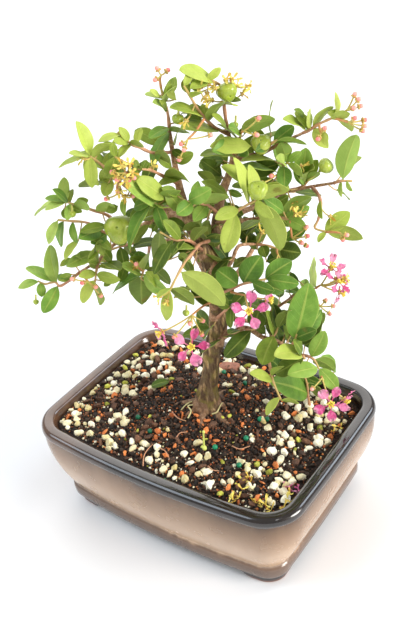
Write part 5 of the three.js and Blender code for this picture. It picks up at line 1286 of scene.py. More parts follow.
def foot_ring(inset, base_height):
    """A ring of the foot wall, whose underside rises to an arch between the corner feet."""
    half_length = BASE_HALF_LENGTH - inset
    half_width = BASE_HALF_WIDTH - inset
    radius = max(FOOT_CORNER_RADIUS - (inset - FOOT_INSET) * 0.6, 4)
    points = ring(half_length, half_width, radius, base_height)
    arch_half_length = BASE_HALF_LENGTH - FOOT_INSET - FOOT_LENGTH
    arch_half_width = BASE_HALF_WIDTH - FOOT_INSET - FOOT_LENGTH
    x, y = np.abs(points[:, 0]), np.abs(points[:, 1])
    on_long_side = y > half_width - 12
    from_end = np.where(on_long_side, arch_half_length - x, arch_half_width - y)
    share = np.clip(from_end / FOOT_END_LENGTH + 0.5, 0, 1)
    lift = share * share * (3 - 2 * share)
    points[:, 2] = np.maximum(points[:, 2], FOOT_ARCH_HEIGHT * lift)
    return points


def pot_mesh():
    """The pot's skin, from the middle of its underside round the rim to the middle of its floor."""
    rim_bottom = POT_HEIGHT - RIM_BAND_HEIGHT
    groove = BASE_BAND_TOP + BAND_STEP
    far_inset = FOOT_INSET + FOOT_RING_WIDTH
    underside = [foot_ring(inset, UNDERSIDE_HEIGHT) for inset in (50, 30, far_inset + 0.4)]
    feet = [foot_ring(inset, height) for inset, height in (
        (far_inset, 7.8), (far_inset, 1.2), (far_inset - 0.8, 0.2), (far_inset - 2, 0),
        (FOOT_INSET + 1.6, 0), (FOOT_INSET + 0.5, 0.3), (FOOT_INSET, 1.4), (FOOT_INSET - 0.2, 4),
        (FOOT_INSET, 7.5))]
    band = [base_ring(inset, height) for inset, height in (
        (2.6, 8.1), (1.1, 8.2), (0.3, 8.7), (0, 9.6), (-0.2, 12.5), (0, BASE_BAND_TOP - 0.7),
        (0.3, BASE_BAND_TOP), (0.9, BASE_BAND_TOP + 0.4))]
    wall_foot = [groove, groove + 0.6, groove + 1.4]
    wall_heights = np.concatenate([wall_foot, np.linspace(groove + 3, rim_bottom - 1.2, 18)])
    wall = [wall_ring(height) for height in wall_heights]
    rim = [rim_ring(inset, height) for inset, height in (
        (0.85, rim_bottom - 0.5), (0.5, rim_bottom - 0.1), (0.15, rim_bottom + 0.4),
        (0, rim_bottom + 1.2), (0.05, rim_bottom + 2.2), (0.3, POT_HEIGHT - 2.1),
        (0.8, POT_HEIGHT - 1.2), (1.5, POT_HEIGHT - 0.55),
        (2.4, POT_HEIGHT - 0.16), (3.4, POT_HEIGHT), (4.6, POT_HEIGHT - 0.02), (6.0, POT_HEIGHT - 0.12),
        (7.2, POT_HEIGHT - 0.3), (8.1, POT_HEIGHT - 0.6), (8.8, POT_HEIGHT - 1.15), (9.3, POT_HEIGHT - 2),
        (9.5, POT_HEIGHT - 3))]
    inside = [hollow_ring(height) for height in (65, 60, 52, 42, 30, 23, 19)]
    floor = [hollow_ring(height, clearance) for height, clearance in (
        (17, 0.4), (FLOOR_TOP + 0.4, 1), (FLOOR_TOP, 3), (FLOOR_TOP, 30))]
    rings = underside + feet + band + wall + rim + inside + floor
    return swept([0, 0, UNDERSIDE_HEIGHT], rings, [0, 0, FLOOR_TOP])


def with_drain_holes(pot):
    """Cuts the two drain holes through the pot's floor."""
    drills = Skin()
    for x in (-DRAIN_HOLE_X, DRAIN_HOLE_X):
        path = np.array([[x, 0, height] for height in (2, 4, 22, 24)])
        drills.add(tube(path, [DRAIN_HOLE_RADIUS] * 4, sides=32))
    cutter = drills.piece("drills", pot.data.materials[0], "glaze")
    cut = pot.modifiers.new("drain_holes", "BOOLEAN")
    cut.object = cutter
    cut.solver = "EXACT"
    bpy.context.view_layer.update()
    evaluated = pot.evaluated_get(bpy.context.evaluated_depsgraph_get())
    pot.data = bpy.data.meshes.new_from_object(evaluated)
    pot.modifiers.clear()
    bpy.data.objects.remove(cutter)
    return pot


def make_pot(look):
    skin = Skin()
    skin.add(pot_mesh())
    return with_drain_holes(skin.piece("pot_shell", look, "glaze", "pot"))


# The noises that roughen the soil: how wide their lumps are, how high, and a seed.
SOIL_NOISES = [(5.0, 1.6, 3.1), (1.8, 1.0, 7.7)]


def rough(points, size, height, seed):
    """Moves points up and down by a noise of a given grain size."""
    lifts = [noise.noise(Vector((x / size + seed, y / size, seed))) for x, y, _ in points]
    points[:, 2] += np.array(lifts) * height


def make_soil(look):
    """The soil's skin, with rings that close in over its mounded and crumbly top."""
    heights = [FLOOR_TOP + SEAT_GAP, *SOIL_SIDE_HEIGHTS, SOIL_EDGE_HEIGHT - 4]
    sides = [hollow_ring(heights[0], 3)]
    sides += [hollow_ring(height, SEAT_GAP) for height in heights[1:]]
    edge = hollow_ring(SOIL_EDGE_HEIGHT, SEAT_GAP)
    edge[:, 2] += SOIL_SLOPE * edge[:, 0]
    top = []
    for share in np.linspace(1, 0.02, SOIL_RINGS):
        points = TRUNK_FOOT + (edge - TRUNK_FOOT) * share
        points[:, 2] = soil_height(points[:, 0], points[:, 1]) - SOIL_BELOW_GRAINS
        if share < 1:
            for size, height, seed in SOIL_NOISES:
                rough(points, size, height, seed)
        top.append(points)
    peak = [TRUNK_FOOT[0], TRUNK_FOOT[1], TRUNK_FOOT[2] - 1]
    skin = Skin()
    skin.add(swept([0, 0, heights[0]], sides + top, peak))
    skin.piece("soil_body", look, "soil_mix", "soil")


def unit_ball(subdivisions):
    """The points and triangles of a ball of radius 1."""
    work = bmesh.new()
    bmesh.ops.create_icosphere(work, subdivisions=subdivisions, radius=1)
    points = np.array([corner.co for corner in work.verts])
    faces = np.array([[corner.index for corner in face.verts] for face in work.faces])
    work.free()
    return points, faces


BALLS = {level: unit_ball(level) for level in (1, 2, 3, 4)}


def turned(luck, count):
    """Rotation matrices for lumps that lie any way up."""
    spin = luck.normal(size=(count, 4))
    spin /= np.linalg.norm(spin, axis=1)[:, None]
    w, x, y, z = spin.T
    return np.stack([
        np.stack([1 - 2 * (y * y + z * z), 2 * (x * y - w * z), 2 * (x * z + w * y)], -1),
        np.stack([2 * (x * y + w * z), 1 - 2 * (x * x + z * z), 2 * (y * z - w * x)], -1),
        np.stack([2 * (x * z - w * y), 2 * (y * z + w * x), 1 - 2 * (x * x + y * y)], -1),
    ], axis=1)


def add_lumps(skin, luck, centres, radii, flatness, level, cuts=7):
    """Adds broken grains at the centres, each cut by its own flat faces, stretched and turned."""
    ball, faces = BALLS[level]
    count = len(centres)
    facing = luck.normal(size=(count, cuts, 3))
    facing /= np.linalg.norm(facing, axis=2)[..., None]
    reach = luck.uniform(0.52, 0.85, size=(count, cuts))
    shapes = np.repeat(ball[None], count, axis=0)
    for cut in range(cuts):
        direction = facing[:, cut]
        over = np.einsum("npj,nj->np", shapes, direction) - reach[:, cut, None]
        shapes = shapes - np.maximum(over, 0)[..., None] * direction[:, None]
    sizes = np.stack([np.full(count, 1.2), luck.uniform(0.7, 1.1, count),
                      luck.uniform(*flatness, count)], axis=1)
    shapes = shapes * sizes[:, None] * (1 + luck.normal(scale=0.035, size=shapes.shape[:2]))[..., None]
    shapes = np.einsum("nij,npj->npi", turned(luck, count), shapes) * np.asarray(radii)[:, None, None]
    points = (shapes + np.asarray(centres)[:, None]).reshape(-1, 3)
    blocks = (faces[None] + np.arange(count)[:, None, None] * len(ball)).reshape(-1, 3)
    skin.add((points, [blocks]), tone=np.repeat(luck.uniform(0, 1, count), len(ball)))


def scattered(luck, tries, low, high, crowding):
    """Places and radii of grains on the soil that don't lie on each other."""
    taken = {}
    kept = []
    limit_x = POT_HALF_LENGTH - RIM_WIDTH - 2
    limit_y = POT_HALF_WIDTH - RIM_WIDTH - 2
    corner = RIM_CORNER_RADIUS - RIM_WIDTH
    places = luck.uniform([-limit_x, -limit_y], [limit_x, limit_y], size=(tries, 2))
    radii = low + (high - low) * luck.uniform(size=tries) ** 1.6
    for (x, y), radius in zip(places.tolist(), np.sort(radii)[::-1].tolist()):
        room_y = limit_y * (1 - LONG_SIDE_BOW * (x / limit_x) ** 2)
        over_x = max(abs(x) - (limit_x - corner), 0)
        over_y = max(abs(y) - (room_y - corner), 0)
        if math.hypot(over_x, over_y) > corner - radius * 0.8:
            continue
        if math.hypot(x - TRUNK_FOOT[0], y - TRUNK_FOOT[1]) < TRUNK_CLEARANCE:
            continue
        across, along = int(x // GRAIN_CELL), int(y // GRAIN_CELL)
        near = [other for i in (-1, 0, 1) for j in (-1, 0, 1)
                for other in taken.get((across + i, along + j), ())]
        if any(math.hypot(x - a, y - b) < crowding * (radius + r) for a, b, r in near):
            continue
        taken.setdefault((across, along), []).append((x, y, radius))
        kept.append((x, y, radius))
    return np.array(kept)


def patchiness(x, y):
    """How strongly pale grains gather at a place on the soil, from about -1 to 1."""
    return np.array([noise.noise(Vector((a / 17, b / 17, 0.4))) for a, b in zip(x, y)]) * 1.6


# Radii of grains, how closely they and the crumbs may lie, how large each look's grains are against
# the places they were given, and what share of all grains they are. The share of pumice grows away
# from the trunk, and dark bits are the rest.
GRAIN_TRIES = 26000
SMALLEST_GRAIN = 0.75
LARGEST_GRAIN = 3.1
LARGE_GRAIN_RADIUS = 1.25
GRAIN_CROWDING = 0.84
CRUMB_CROWDING = 0.6
DOUBLE_SHARE = 0.35
DOUBLE_SIZE = 0.72
GRAIN_SIZE = {"pumice": 1.0, "clay": 0.9, "bark_bits": 1.1, "moss": 0.9, "dark_bits": 0.68}
CLAY_SHARE = 0.13
BARK_SHARE = 0.18
MOSS_SHARE = 0.03
PUMICE_FROM_TRUNK = 30
PUMICE_SPREAD = 62
PUMICE_PATCHINESS = 0.26
PUMICE_SHARES = (0.01, 0.42)
# Crumbs: a name, the look, the number of tries, and the smallest and largest radius.
CRUMBS = [
    ["dark_crumbs", "dark_bits", 9500, 0.35, 1.2],
    ["bark_crumbs", "bark_bits", 4200, 0.4, 1.3],
    ["clay_crumbs", "clay", 2300, 0.35, 1.0],
    ["pale_crumbs", "pumice", 600, 0.35, 0.75],
]


def from_trunk(places, length_share=1.0):
    """How far places on the soil are from the trunk, where the pot's length may count for less."""
    return np.hypot((places[:, 0] - TRUNK_FOOT[0]) / length_share, places[:, 1] - TRUNK_FOOT[1])


def add_doubles(skin, luck, centres, size, flatness, level):
    """Smaller lumps grown onto some of the grains, which makes them uneven."""
    double = luck.uniform(size=len(centres)) < DOUBLE_SHARE
    turns = luck.uniform(0, 2 * math.pi, size=len(centres))
    aside = np.stack([np.cos(turns), np.sin(turns), luck.uniform(-0.2, 0.2, len(centres))], axis=1)
    beside = centres + aside * (size * luck.uniform(0.7, 1.0, len(centres)))[:, None]
    add_lumps(skin, luck, beside[double], size[double] * DOUBLE_SIZE, flatness, level)


def make_grains(looks):
    """The loose top of the soil: white pumice, orange clay, dark bark, moss and lava grains."""
    luck = np.random.default_rng(41)
    grains = scattered(luck, GRAIN_TRIES, SMALLEST_GRAIN, LARGEST_GRAIN, GRAIN_CROWDING)
    patches = PUMICE_PATCHINESS * patchiness(grains[:, 0], grains[:, 1])
    outwards = (from_trunk(grains, 1.2) - PUMICE_FROM_TRUNK) / PUMICE_SPREAD
    pale_share = np.clip(outwards + patches, *PUMICE_SHARES)
    even_shares = [np.full(len(grains), share) for share in (CLAY_SHARE, BARK_SHARE, MOSS_SHARE)]
    shares = np.stack([pale_share, *even_shares])
    kinds = (luck.uniform(size=len(grains)) > np.cumsum(shares, axis=0)).sum(axis=0)
    large = grains[:, 2] > LARGE_GRAIN_RADIUS
    for name, look, mine, flatness, level in (
            ("pumice_grains", "pumice", (kinds == 0) & large, (0.6, 1.0), 2),
            ("pumice_bits", "pumice", (kinds == 0) & ~large, (0.6, 1.0), 1),
            ("clay_grains", "clay", kinds == 1, (0.25, 0.6), 1),
            ("bark_grains", "bark_bits", kinds == 2, (0.25, 0.6), 1),
            ("moss_grains", "moss", kinds == 3, (0.6, 0.9), 1),
            ("lava_grains", "dark_bits", kinds == 4, (0.5, 0.95), 1)):
        chosen = grains[mine]
        size = chosen[:, 2] * GRAIN_SIZE[look]
        height = soil_height(chosen[:, 0], chosen[:, 1]) + size * 0.3
        skin = Skin()
        centres = np.column_stack([chosen[:, :2], height])
        add_lumps(skin, luck, centres, size, flatness, level)
        if name == "pumice_grains":
            add_doubles(skin, luck, centres, size, flatness, level)
        skin.piece(name, looks[look], "soil_mix").data.shade_flat()


def make_crumbs(looks):
    """The finest crumbs, which fill the gaps between the grains and cover the mound."""
    luck = np.random.default_rng(77)
    for name, look, tries, low, high in CRUMBS:
        bits = scattered(luck, tries, low, high, CRUMB_CROWDING)
        if look == "pumice":
            bits = bits[from_trunk(bits) > PALE_CRUMB_CLEARANCE]
        height = soil_height(bits[:, 0], bits[:, 1]) + bits[:, 2] * 0.25
        skin = Skin()
        add_lumps(skin, luck, np.column_stack([bits[:, :2], height]), bits[:, 2], (0.4, 0.9), 1, cuts=4)
        skin.piece(name, looks[look], "soil_mix").data.shade_flat()


def limb_rows(rows):
    """A limb's places and radii, smoothed into a fine row."""
    places = np.array([[*sight(row[:3]), row[3]] for row in rows])
    line = smoothed(places, steps=6)
    line[:, 3] *= np.interp(line[:, 3], SLIMMED_RADII, SLIMMED_SHARES)
    return line


def root_rows(direction, length, radius):
    """A surface root's places and radii, from the trunk outwards and down into the soil."""
    turn = math.radians(direction)
    rows = []
    for share, depth in ROOT_DEPTHS:
        bend = ROOT_BEND * share * share
        x = TRUNK_FOOT[0] + length * share * math.cos(turn + bend)
        y = TRUNK_FOOT[1] + length * share * math.sin(turn + bend)
        rows.append([x, y, soil_height(x, y) - depth, radius * (1 - ROOT_TAPER * share)])
    return smoothed(rows, steps=6)


def remeshed(skin, voxel, name, look):
    """One even skin round shapes that overlap."""
    work = skin.piece(name + "_draft", look, "bark")
    wrap = work.modifiers.new("wrap", "REMESH")
    wrap.mode = "VOXEL"
    wrap.voxel_size = voxel * MM
    bpy.context.view_layer.update()
    evaluated = work.evaluated_get(bpy.context.evaluated_depsgraph_get())
    mesh = bpy.data.meshes.new_from_object(evaluated)
    mesh.name = name
    bpy.data.objects.remove(work)
    return mesh


def roughened_bark(mesh, samples):
    """Raises plates and cracks on the bark, deepest on the trunk, and marks how thin each limb is."""
    tree = KDTree(len(samples))
    for index, row in enumerate(samples):
        tree.insert(row[:3] * MM, index)
    tree.balance()
    normals = np.empty(len(mesh.vertices) * 3, np.float32)
    mesh.vertex_normals.foreach_get("vector", normals)
    thin = []
    for corner, normal in zip(mesh.vertices, normals.reshape(-1, 3)):
        _, index, _ = tree.find(corner.co)
        radius = samples[index][3]
        thickness = min(radius / RADIUS_PER_BARK_THICKNESS, BARK_THICKEST)
        place = corner.co / MM
        long_place = Vector((place.x / BARK_PLATE_WIDTH, place.y / BARK_PLATE_WIDTH,
                             place.z / BARK_PLATE_LENGTH))
        plates = noise.noise(long_place) * 0.62 + abs(noise.noise(long_place * 2.1)) * -0.5
        lumps = noise.noise(place / BARK_LUMP_SIZE) * 0.7
        corner.co += Vector(normal) * (plates + lumps) * thickness * MM
        thin.append(min(max((OLD_BARK_FROM_RADIUS - radius) / YOUNG_BARK_SPAN, 0), 1))
    tones = mesh.attributes.new("tone", "FLOAT", "POINT")
    tones.data.foreach_set("value", np.array(thin, np.float32))


def make_trunk(look):
    """The trunk with its limbs, surface roots and stump, in one skin."""
    skin = Skin()
    samples = []
    for _, rows in LIMBS:
        line = limb_rows(rows)
        skin.add(tube(line[:, :3], line[:, 3], sides=16))
        samples.append(line)
    for root in ROOTS:
        line = root_rows(*root)
        skin.add(tube(line[:, :3], line[:, 3], sides=12))
        samples.append(line)
    _, trunk_rows = LIMBS[0]
    foot = sight(trunk_rows[0][:3])
    stump = np.array([foot + [0, 0, lift] for lift in STUMP_LEVELS])
    skin.add(tube(stump, STUMP_RADII, sides=16))
    mesh = remeshed(skin, BARK_VOXEL, "trunk_wood", look)
    roughened_bark(mesh, np.vstack(samples))
    mesh.shade_smooth()
    placed("trunk_wood", mesh, look, "bark", "trunk")


def twig_points(rows):
    return smoothed([sight(row) for row in rows], steps=6)


def add_twig(skin, points, luck):
    share = np.linspace(0, 1, len(points))
    knots = 1 + 0.12 * np.sin(share * len(points) * 0.9 + luck.uniform(0, 6))
    radii = (TWIG_START_RADIUS + (TWIG_END_RADIUS - TWIG_START_RADIUS) * share) * knots
    skin.add(tube(points, radii), tone=np.concatenate([[0], np.repeat(share, 8), [1]]))


def shoot_slot(name):
    for slot, names in SHOOT_SLOTS.items():
        if name in names:
            return slot
    return "leaf_green"


def make_shoots(looks):
    """Each leafy shoot: its twig, and its leaves as thin folded and waved blades."""
    luck = np.random.default_rng(5)
    for name, twig_rows, leaf_rows in SHOOTS:
        points = twig_points(twig_rows)
        twig = Skin()
        add_twig(twig, points, luck)
        twig.piece("twig_" + name, looks["twig"], "bark")
        leaves = Skin()
        for row, tone in zip(leaf_rows, LEAF_TONES[name]):
            base, tip, side, normal, width = leaf_frame(points, row)
            outline = leaf_outline(width, luck.uniform(*LEAF_POINTEDNESS))
            add_leaf(leaves, base, tip, side, normal, outline, luck, tone)
        slot = shoot_slot(name)
        leaves.piece("leaves_" + name, looks[slot], slot, "shoot_" + name)


def make_more_leaves(looks):
    """Leaves that fill the crown: those seen between the shoots, and more on the inner limbs."""
    luck = np.random.default_rng(19)
    limbs = np.vstack([limb_rows(rows)[:, :3] for _, rows in LIMBS])
    twigs = np.vstack([twig_points(rows) for _, rows, _ in SHOOTS])
    wood = np.vstack([limbs, twigs])
    bright, green, dark, stalks = Skin(), Skin(), Skin(), Skin()
    for *row, tone in EXTRA_LEAVES:
        base = sight([row[0], row[1], row[4] - 4])
        _, tip, side, normal, width = leaf_frame(base[None], row)
        full_green = row[0] > FULL_GREEN_FROM_COLUMN and row[1] > FULL_GREEN_FROM_ROW
        leaves = green if full_green else bright
        add_stalked_leaf(leaves, stalks, wood, base, tip, side, normal, width, tone, luck)
    inner = limbs[(limbs[:, 2] > INNER_LEAF_LOWEST) & (limbs[:, 2] < INNER_LEAF_HIGHEST)]
    for _ in range(INNER_LEAF_COUNT):
        add_inner_leaf(dark, stalks, wood, inner, luck)
    for leaves, slot in ((bright, "leaf_bright"), (green, "leaf_green"), (dark, "leaf_dark")):
        leaves.piece("more_" + slot, looks[slot], slot)
    stalks.piece("leaf_stalks", looks["twig"], "bark")


def add_inner_leaf(leaves, stalks, wood, limbs, luck):
    """A leaf on an inner limb, pointing any way but leaning upwards and away from the viewer."""
    root = limbs[luck.integers(len(limbs))]
    away = unit(luck.normal(size=3) * [1, 1, 0.5] - 0.5 * TOWARDS_VIEWER + [0, 0, 0.25])
    base = root + away * luck.uniform(*INNER_LEAF_STALKS)
    tip = base + away * luck.uniform(*INNER_LEAF_LENGTHS) + [0, 0, luck.uniform(-4, 5)]
    side = unit(np.cross(tip - base, luck.normal(size=3) * 0.6 + [0, 0, 1]))
    normal = unit(np.cross(tip - base, side))
    normal = normal if normal[2] > 0 else -normal
    width = np.linalg.norm(tip - base) * luck.uniform(*INNER_LEAF_WIDTH_SHARES)
    tone = luck.uniform(*INNER_LEAF_TONES)
    add_stalked_leaf(leaves, stalks, wood, base, tip, side, normal, width, tone, luck)


def add_stalked_leaf(leaves, stalks, wood, base, tip, side, normal, width, tone, luck):
    """A leaf whose stalk reaches the nearest wood."""
    outline = leaf_outline(width, luck.uniform(*LEAF_POINTEDNESS))
    add_leaf(leaves, base, tip, side, normal, outline, luck, tone)
    foot = wood[np.linalg.norm(wood - base, axis=1).argmin()]
    if np.linalg.norm(foot - base) > 1:
        end = base + unit(tip - base) * 0.6
        add_stalk(stalks, foot, end, THIN_STALK_RADIUS, 0.8, points=5, sides=5, sag=0.5)


def flower_axes(centre, fork, facing):
    """The way an open flower faces, and two directions across it."""
    outward = unit(centre - fork)
    view = unit(EYE - centre)
    axis = unit(outward * (1 - facing) + view * facing)
    reference = unit(np.cross(VIEW_UP, axis))
    return axis, reference, np.cross(axis, reference)


def add_petals(skin, centre, axes, turn_degrees, size, luck):
    """Five clawed petals round a flower's axis."""
    axis = axes[0]
    for petal in range(5):
        turn = math.radians(turn_degrees + petal * 72 + luck.uniform(-6, 6))
        spread = spoke(axes, turn)
        side = np.cross(axis, spread)
        length = PETAL_LENGTH * size * luck.uniform(0.86, 1.0)
        tip = centre + spread * length + axis * luck.uniform(-1.5, 3.0)
        width = PETAL_WIDTH * size * size * luck.uniform(0.78, 1.0)
        shape, places = blade(centre + axis * 0.4, tip, side, axis, petal_outline(width),
                              blade_shape(PETAL_SHAPES, luck), PETAL_SHEET_THICKNESS)
        skin.add(shape, luck.uniform(0.35, 0.85), places)


def add_ball(skin, centre, radius, tone=0.5, level=2, squash=(1, 1, 1)):
    points, faces = BALLS[level]
    skin.add((centre + points * radius * np.array(squash), [faces]), tone)


def add_stamens(skin, centre, axes, luck):
    """Yellow stamens round a flower's axis, with every second one leaning further out."""
    axis = axes[0]
    for step in range(STAMEN_COUNT):
        outward = spoke(axes, step * 2 * math.pi / STAMEN_COUNT + luck.uniform(-0.2, 0.2))
        lean = 1.5 + 0.5 * (step % 2)
        start = centre + axis * 0.6 + outward * 0.7
        end = centre + axis * luck.uniform(*STAMEN_HEIGHTS) + outward * lean
        add_stalk(skin, start, end, STAMEN_RADIUS, 0.8, points=4, sides=5)
        add_ball(skin, end, ANTHER_RADIUS, luck.uniform(0.3, 1.0), level=1)


def add_calyx(skin, centre, axes, size=1.0):
    """Five sepals, each with two swollen glands, behind a flower or bud."""
    axis = axes[0]
    add_ball(skin, centre + axis * 0.3, 1.3 * size, 0.6)
    for step in range(GLAND_COUNT):
        outward = spoke(axes, step * 2 * math.pi / GLAND_COUNT)
        gland = centre - axis * 0.4 * size + outward * GLAND_SPREAD * size
        add_ball(skin, gland, GLAND_RADIUS * size, 0.2 + 0.7 * (step % 2), level=1)


def across_axis(axis):
    """An axis, and two directions across it."""
    reference = unit(np.cross([0.3, 0.2, 0.9], axis))
    return axis, reference, np.cross(axis, reference)


def make_flower_head(head, looks, luck, standing_for=()):
    """A cluster of open flowers and round buds on its own common stalk."""
    name, stalk_rows, flowers, buds = head
    stalks, petals, hearts, globes = Skin(), Skin(), Skin(), Skin()
    common = smoothed([sight(row) for row in stalk_rows], steps=5)
    fork = common[-1]
    stalks.add(tube(common, np.linspace(0.75, 0.55, len(common))), tone=0.2)
    for column, row, towards, turn, facing in flowers:
        centre = sight([column, row, towards])
        axes = flower_axes(centre, fork, facing)
        back = centre - axes[0] * 0.8
        add_stalk(stalks, fork, back, STALK_RADIUS, 0.6, sag=0.6)
        add_calyx(stalks, centre, axes)
        add_petals(petals, centre, axes, turn, 1.0 if facing > 0.5 else SIDEWAYS_FLOWER_SIZE, luck)
        add_ball(hearts, centre + axes[0] * 1.4, 1.1, 0.1)
        add_stamens(hearts, centre, axes, luck)
    for place in buds:
        centre = sight(place)
        axes = across_axis(unit(centre - fork))
        back = centre - axes[0] * BUD_RADIUS
        add_stalk(stalks, fork, back, STALK_RADIUS * 0.9, 0.7, sag=0.4)
        add_calyx(stalks, back + axes[0] * 0.4, axes, 0.85)
        add_ball(globes, centre, BUD_RADIUS, luck.uniform(0.2, 0.9), level=2, squash=(1, 1, 0.94))
    stalks.piece("stalks_" + name, looks["stalk"], "petal_pink", *standing_for)
    for skin, kind in ((petals, "petal"), (hearts, "stamen"), (globes, "bud")):
        if skin.count:
            skin.piece(kind + "s_" + name, looks[kind], "petal_pink")


def make_flowers(looks):
    luck = np.random.default_rng(11)
    for head in FLOWER_HEADS:
        make_flower_head(head, looks, luck, ["flowers_" + head[0]])
    for head in SMALL_HEADS:
        make_flower_head(head, looks, luck)


def make_spent_flowers(looks):
    """Withered flowers: a calyx with a few curled yellow rags, on a thin stalk."""
    luck = np.random.default_rng(23)
    stalks, rags = Skin(), Skin()
    for column, row, towards, stalk_column, stalk_row, stalk_towards in SPENT_FLOWERS:
        centre = sight([column, row, towards])
        foot = sight([stalk_column, stalk_row, stalk_towards])
        axes = across_axis(unit(centre - foot))
        add_stalk(stalks, foot, centre, THIN_STALK_RADIUS, 0.6, sag=1.0)
        add_calyx(stalks, centre, axes, 0.8)
        for step in range(5):
            add_rag(rags, centre + axes[0] * 0.5, axes, step * 72, luck)
    stalks.piece("spent_flower_stalks", looks["stalk"], "petal_pink")
    rags.piece("spent_flower_petals", looks["withered"], "petal_pink")


def add_rag(skin, centre, axes, turn_degrees, luck, length=4.5):
    """One small curled petal."""
    axis = axes[0]
    outward = spoke(axes, math.radians(turn_degrees + luck.uniform(-20, 20)))
    tip = centre + outward * length * luck.uniform(0.5, 0.9) + axis * length * luck.uniform(0.2, 0.8)
    side = unit(np.cross(axis, tip - centre))
    bends = blade_shape(PETAL_SHAPES, luck)
    bends["nod"] = luck.uniform(-0.3, 0.3)
    bends["curl"] = luck.uniform(-0.5, 0.5)
    outline = petal_outline(length * 0.36)
    shape, places = blade(centre, tip, side, axis, outline, bends, PETAL_SHEET_THICKNESS)
    skin.add(shape, luck.uniform(0, 1), places)


def fruit_rings(radius):
    """The rings of a three-lobed fruit with shallow furrows, dented at both ends."""
    turns = np.arange(FRUIT_RING_POINTS) / FRUIT_RING_POINTS * 2 * math.pi
    rings = []
    for polar in np.linspace(0.06, math.pi - 0.06, FRUIT_RINGS):
        belt = math.sin(polar)
        lobes = 1 + belt * (0.07 * np.cos(3 * turns) - 0.03 * np.abs(np.sin(1.5 * turns)) ** 6)
        dent = 0.92 * math.cos(polar) * (1 - 0.16 * abs(math.cos(polar)) ** 6)
        rings.append(radius * np.column_stack([belt * lobes * np.cos(turns), belt * lobes * np.sin(turns),
                                               np.full(FRUIT_RING_POINTS, dent)]))
    return rings


def add_fruit(skin, stalks, centre, stalk_foot, radius):
    """A fruit that hangs from its stalk with its top turned to it."""
    up = unit(stalk_foot - centre)
    axis, reference, upward = across_axis(up)
    turn = np.stack([reference, upward, axis], axis=1)
    rings = [centre + points @ turn.T for points in fruit_rings(radius)]
    skin.add(swept(centre - axis * radius * 0.79, rings, centre + axis * radius * 0.79))
    top = centre + axis * radius * 0.85
    add_stalk(stalks, stalk_foot, top, 0.6, 0.4, points=10, sides=7, sag=0.4)
    add_calyx(stalks, top, (axis, reference, upward), min(radius / 5, 1.1))


def make_fruits(looks):
    for name, middle, radius, stalk_place in FRUITS:
        skin, stalks = Skin(), Skin()
        add_fruit(skin, stalks, sight(middle), sight(stalk_place), radius)
        skin.piece("fruit_skin_" + name, looks["fruit"], "fruit_green", "fruit_" + name)
        stalks.piece("fruit_stalk_" + name, looks["green_stalk"], "fruit_green")
    skin, stalks = Skin(), Skin()
    for column, row, towards, radius in YOUNG_FRUITS:
        centre = sight([column, row, towards])
        add_fruit(skin, stalks, centre, centre + np.array([0.8, 0.4, 5.0]), radius)
    skin.piece("young_fruits", looks["fruit"], "fruit_green")
    stalks.piece("young_fruit_stalks", looks["green_stalk"], "fruit_green")


def make_fine_roots(looks):
    """The thin roots that show on the soil, pale ones and brown ones."""
    for name, look, lines, radius in (("pale_roots", "pale_root", PALE_ROOTS, 0.55),
                                      ("brown_roots", "twig", BROWN_ROOTS, 0.4)):
        skin = Skin()
        for line in lines:
            lifts = LITTER_LIFT + 2.0 * np.sin(np.linspace(0.2, 2.9, len(line)))
            path = smoothed([on_soil(*place, lift) for place, lift in zip(line, lifts)], steps=6)
            skin.add(tube(path, np.linspace(radius, radius * 0.6, len(path)), sides=6), tone=0.4)
        skin.piece(name, looks[look], "bark")


def make_fallen_petals(looks, luck):
    """Withered and pink petals that fell on the soil, three at each place."""
    for name, look, places in (("fallen_flowers", "withered", FALLEN_YELLOW),
                               ("fallen_petals", "petal", FALLEN_PINK)):
        skin = Skin()
        for column, row in places:
            axes = across_axis(unit(np.array([luck.uniform(-0.4, 0.4), luck.uniform(-0.4, 0.4), 1])))
            for step in range(3):
                length = luck.uniform(3.2, 5.6)
                add_rag(skin, on_soil(column, row, LITTER_LIFT), axes, step * 120, luck, length)
        skin.piece(name, looks[look], "petal_pink")


def make_sprout(looks):
    """A seedling's bare stem, thickened at its foot."""
    stem = Skin()
    foot = on_soil(*SPROUT[0][:2])
    heights = [height for _, _, height in SPROUT]
    path = smoothed([foot + np.array([0.4 * k, 0.2 * k, height]) for k, height in enumerate(heights)])
    stem.add(tube(path, np.linspace(0.7, 0.5, len(path)), sides=8), tone=0.9)
    add_ball(stem, path[-1], 0.9, 1.0, squash=(1, 1, 1.4))
    add_ball(stem, path[0] + [0, 0, 1], 2.2, 0.9, level=3, squash=(1, 0.8, 0.8))
    stem.piece("sprout", looks["green_stalk"], "leaf_bright")


def make_litter(looks):
    """What lies on the soil: pellets, roots, withered and pink petals, a leaf and a sprout."""
    luck = np.random.default_rng(31)
    pellets = Skin()
    for column, row in PELLETS:
        add_ball(pellets, on_soil(column, row, LITTER_LIFT), PELLET_RADIUS, luck.uniform(0, 1), level=3)
    pellets.piece("fertiliser_pellets", looks["pellet"], "fruit_green")
    make_fine_roots(looks)
    make_fallen_petals(looks, luck)
    make_fallen_leaf(looks, luck)
    make_sprout(looks)


def make_fallen_leaf(looks, luck):
    """A green leaf that lies on the grains."""
    base = on_soil(*FALLEN_LEAF["stalk"], 2.5)
    tip = on_soil(*FALLEN_LEAF["tip"], 3.5)
    normal = unit(np.array([0.1, -0.15, 1]))
    side = unit(np.cross(tip - base, normal))
    outline = leaf_outline(FALLEN_LEAF["width"], 0.4)
    skin = Skin()
    add_leaf(skin, base, tip, side, normal, outline, luck, FALLEN_LEAF["tone"])
    skin.piece("fallen_leaf", looks["leaf_dark"], "leaf_dark")


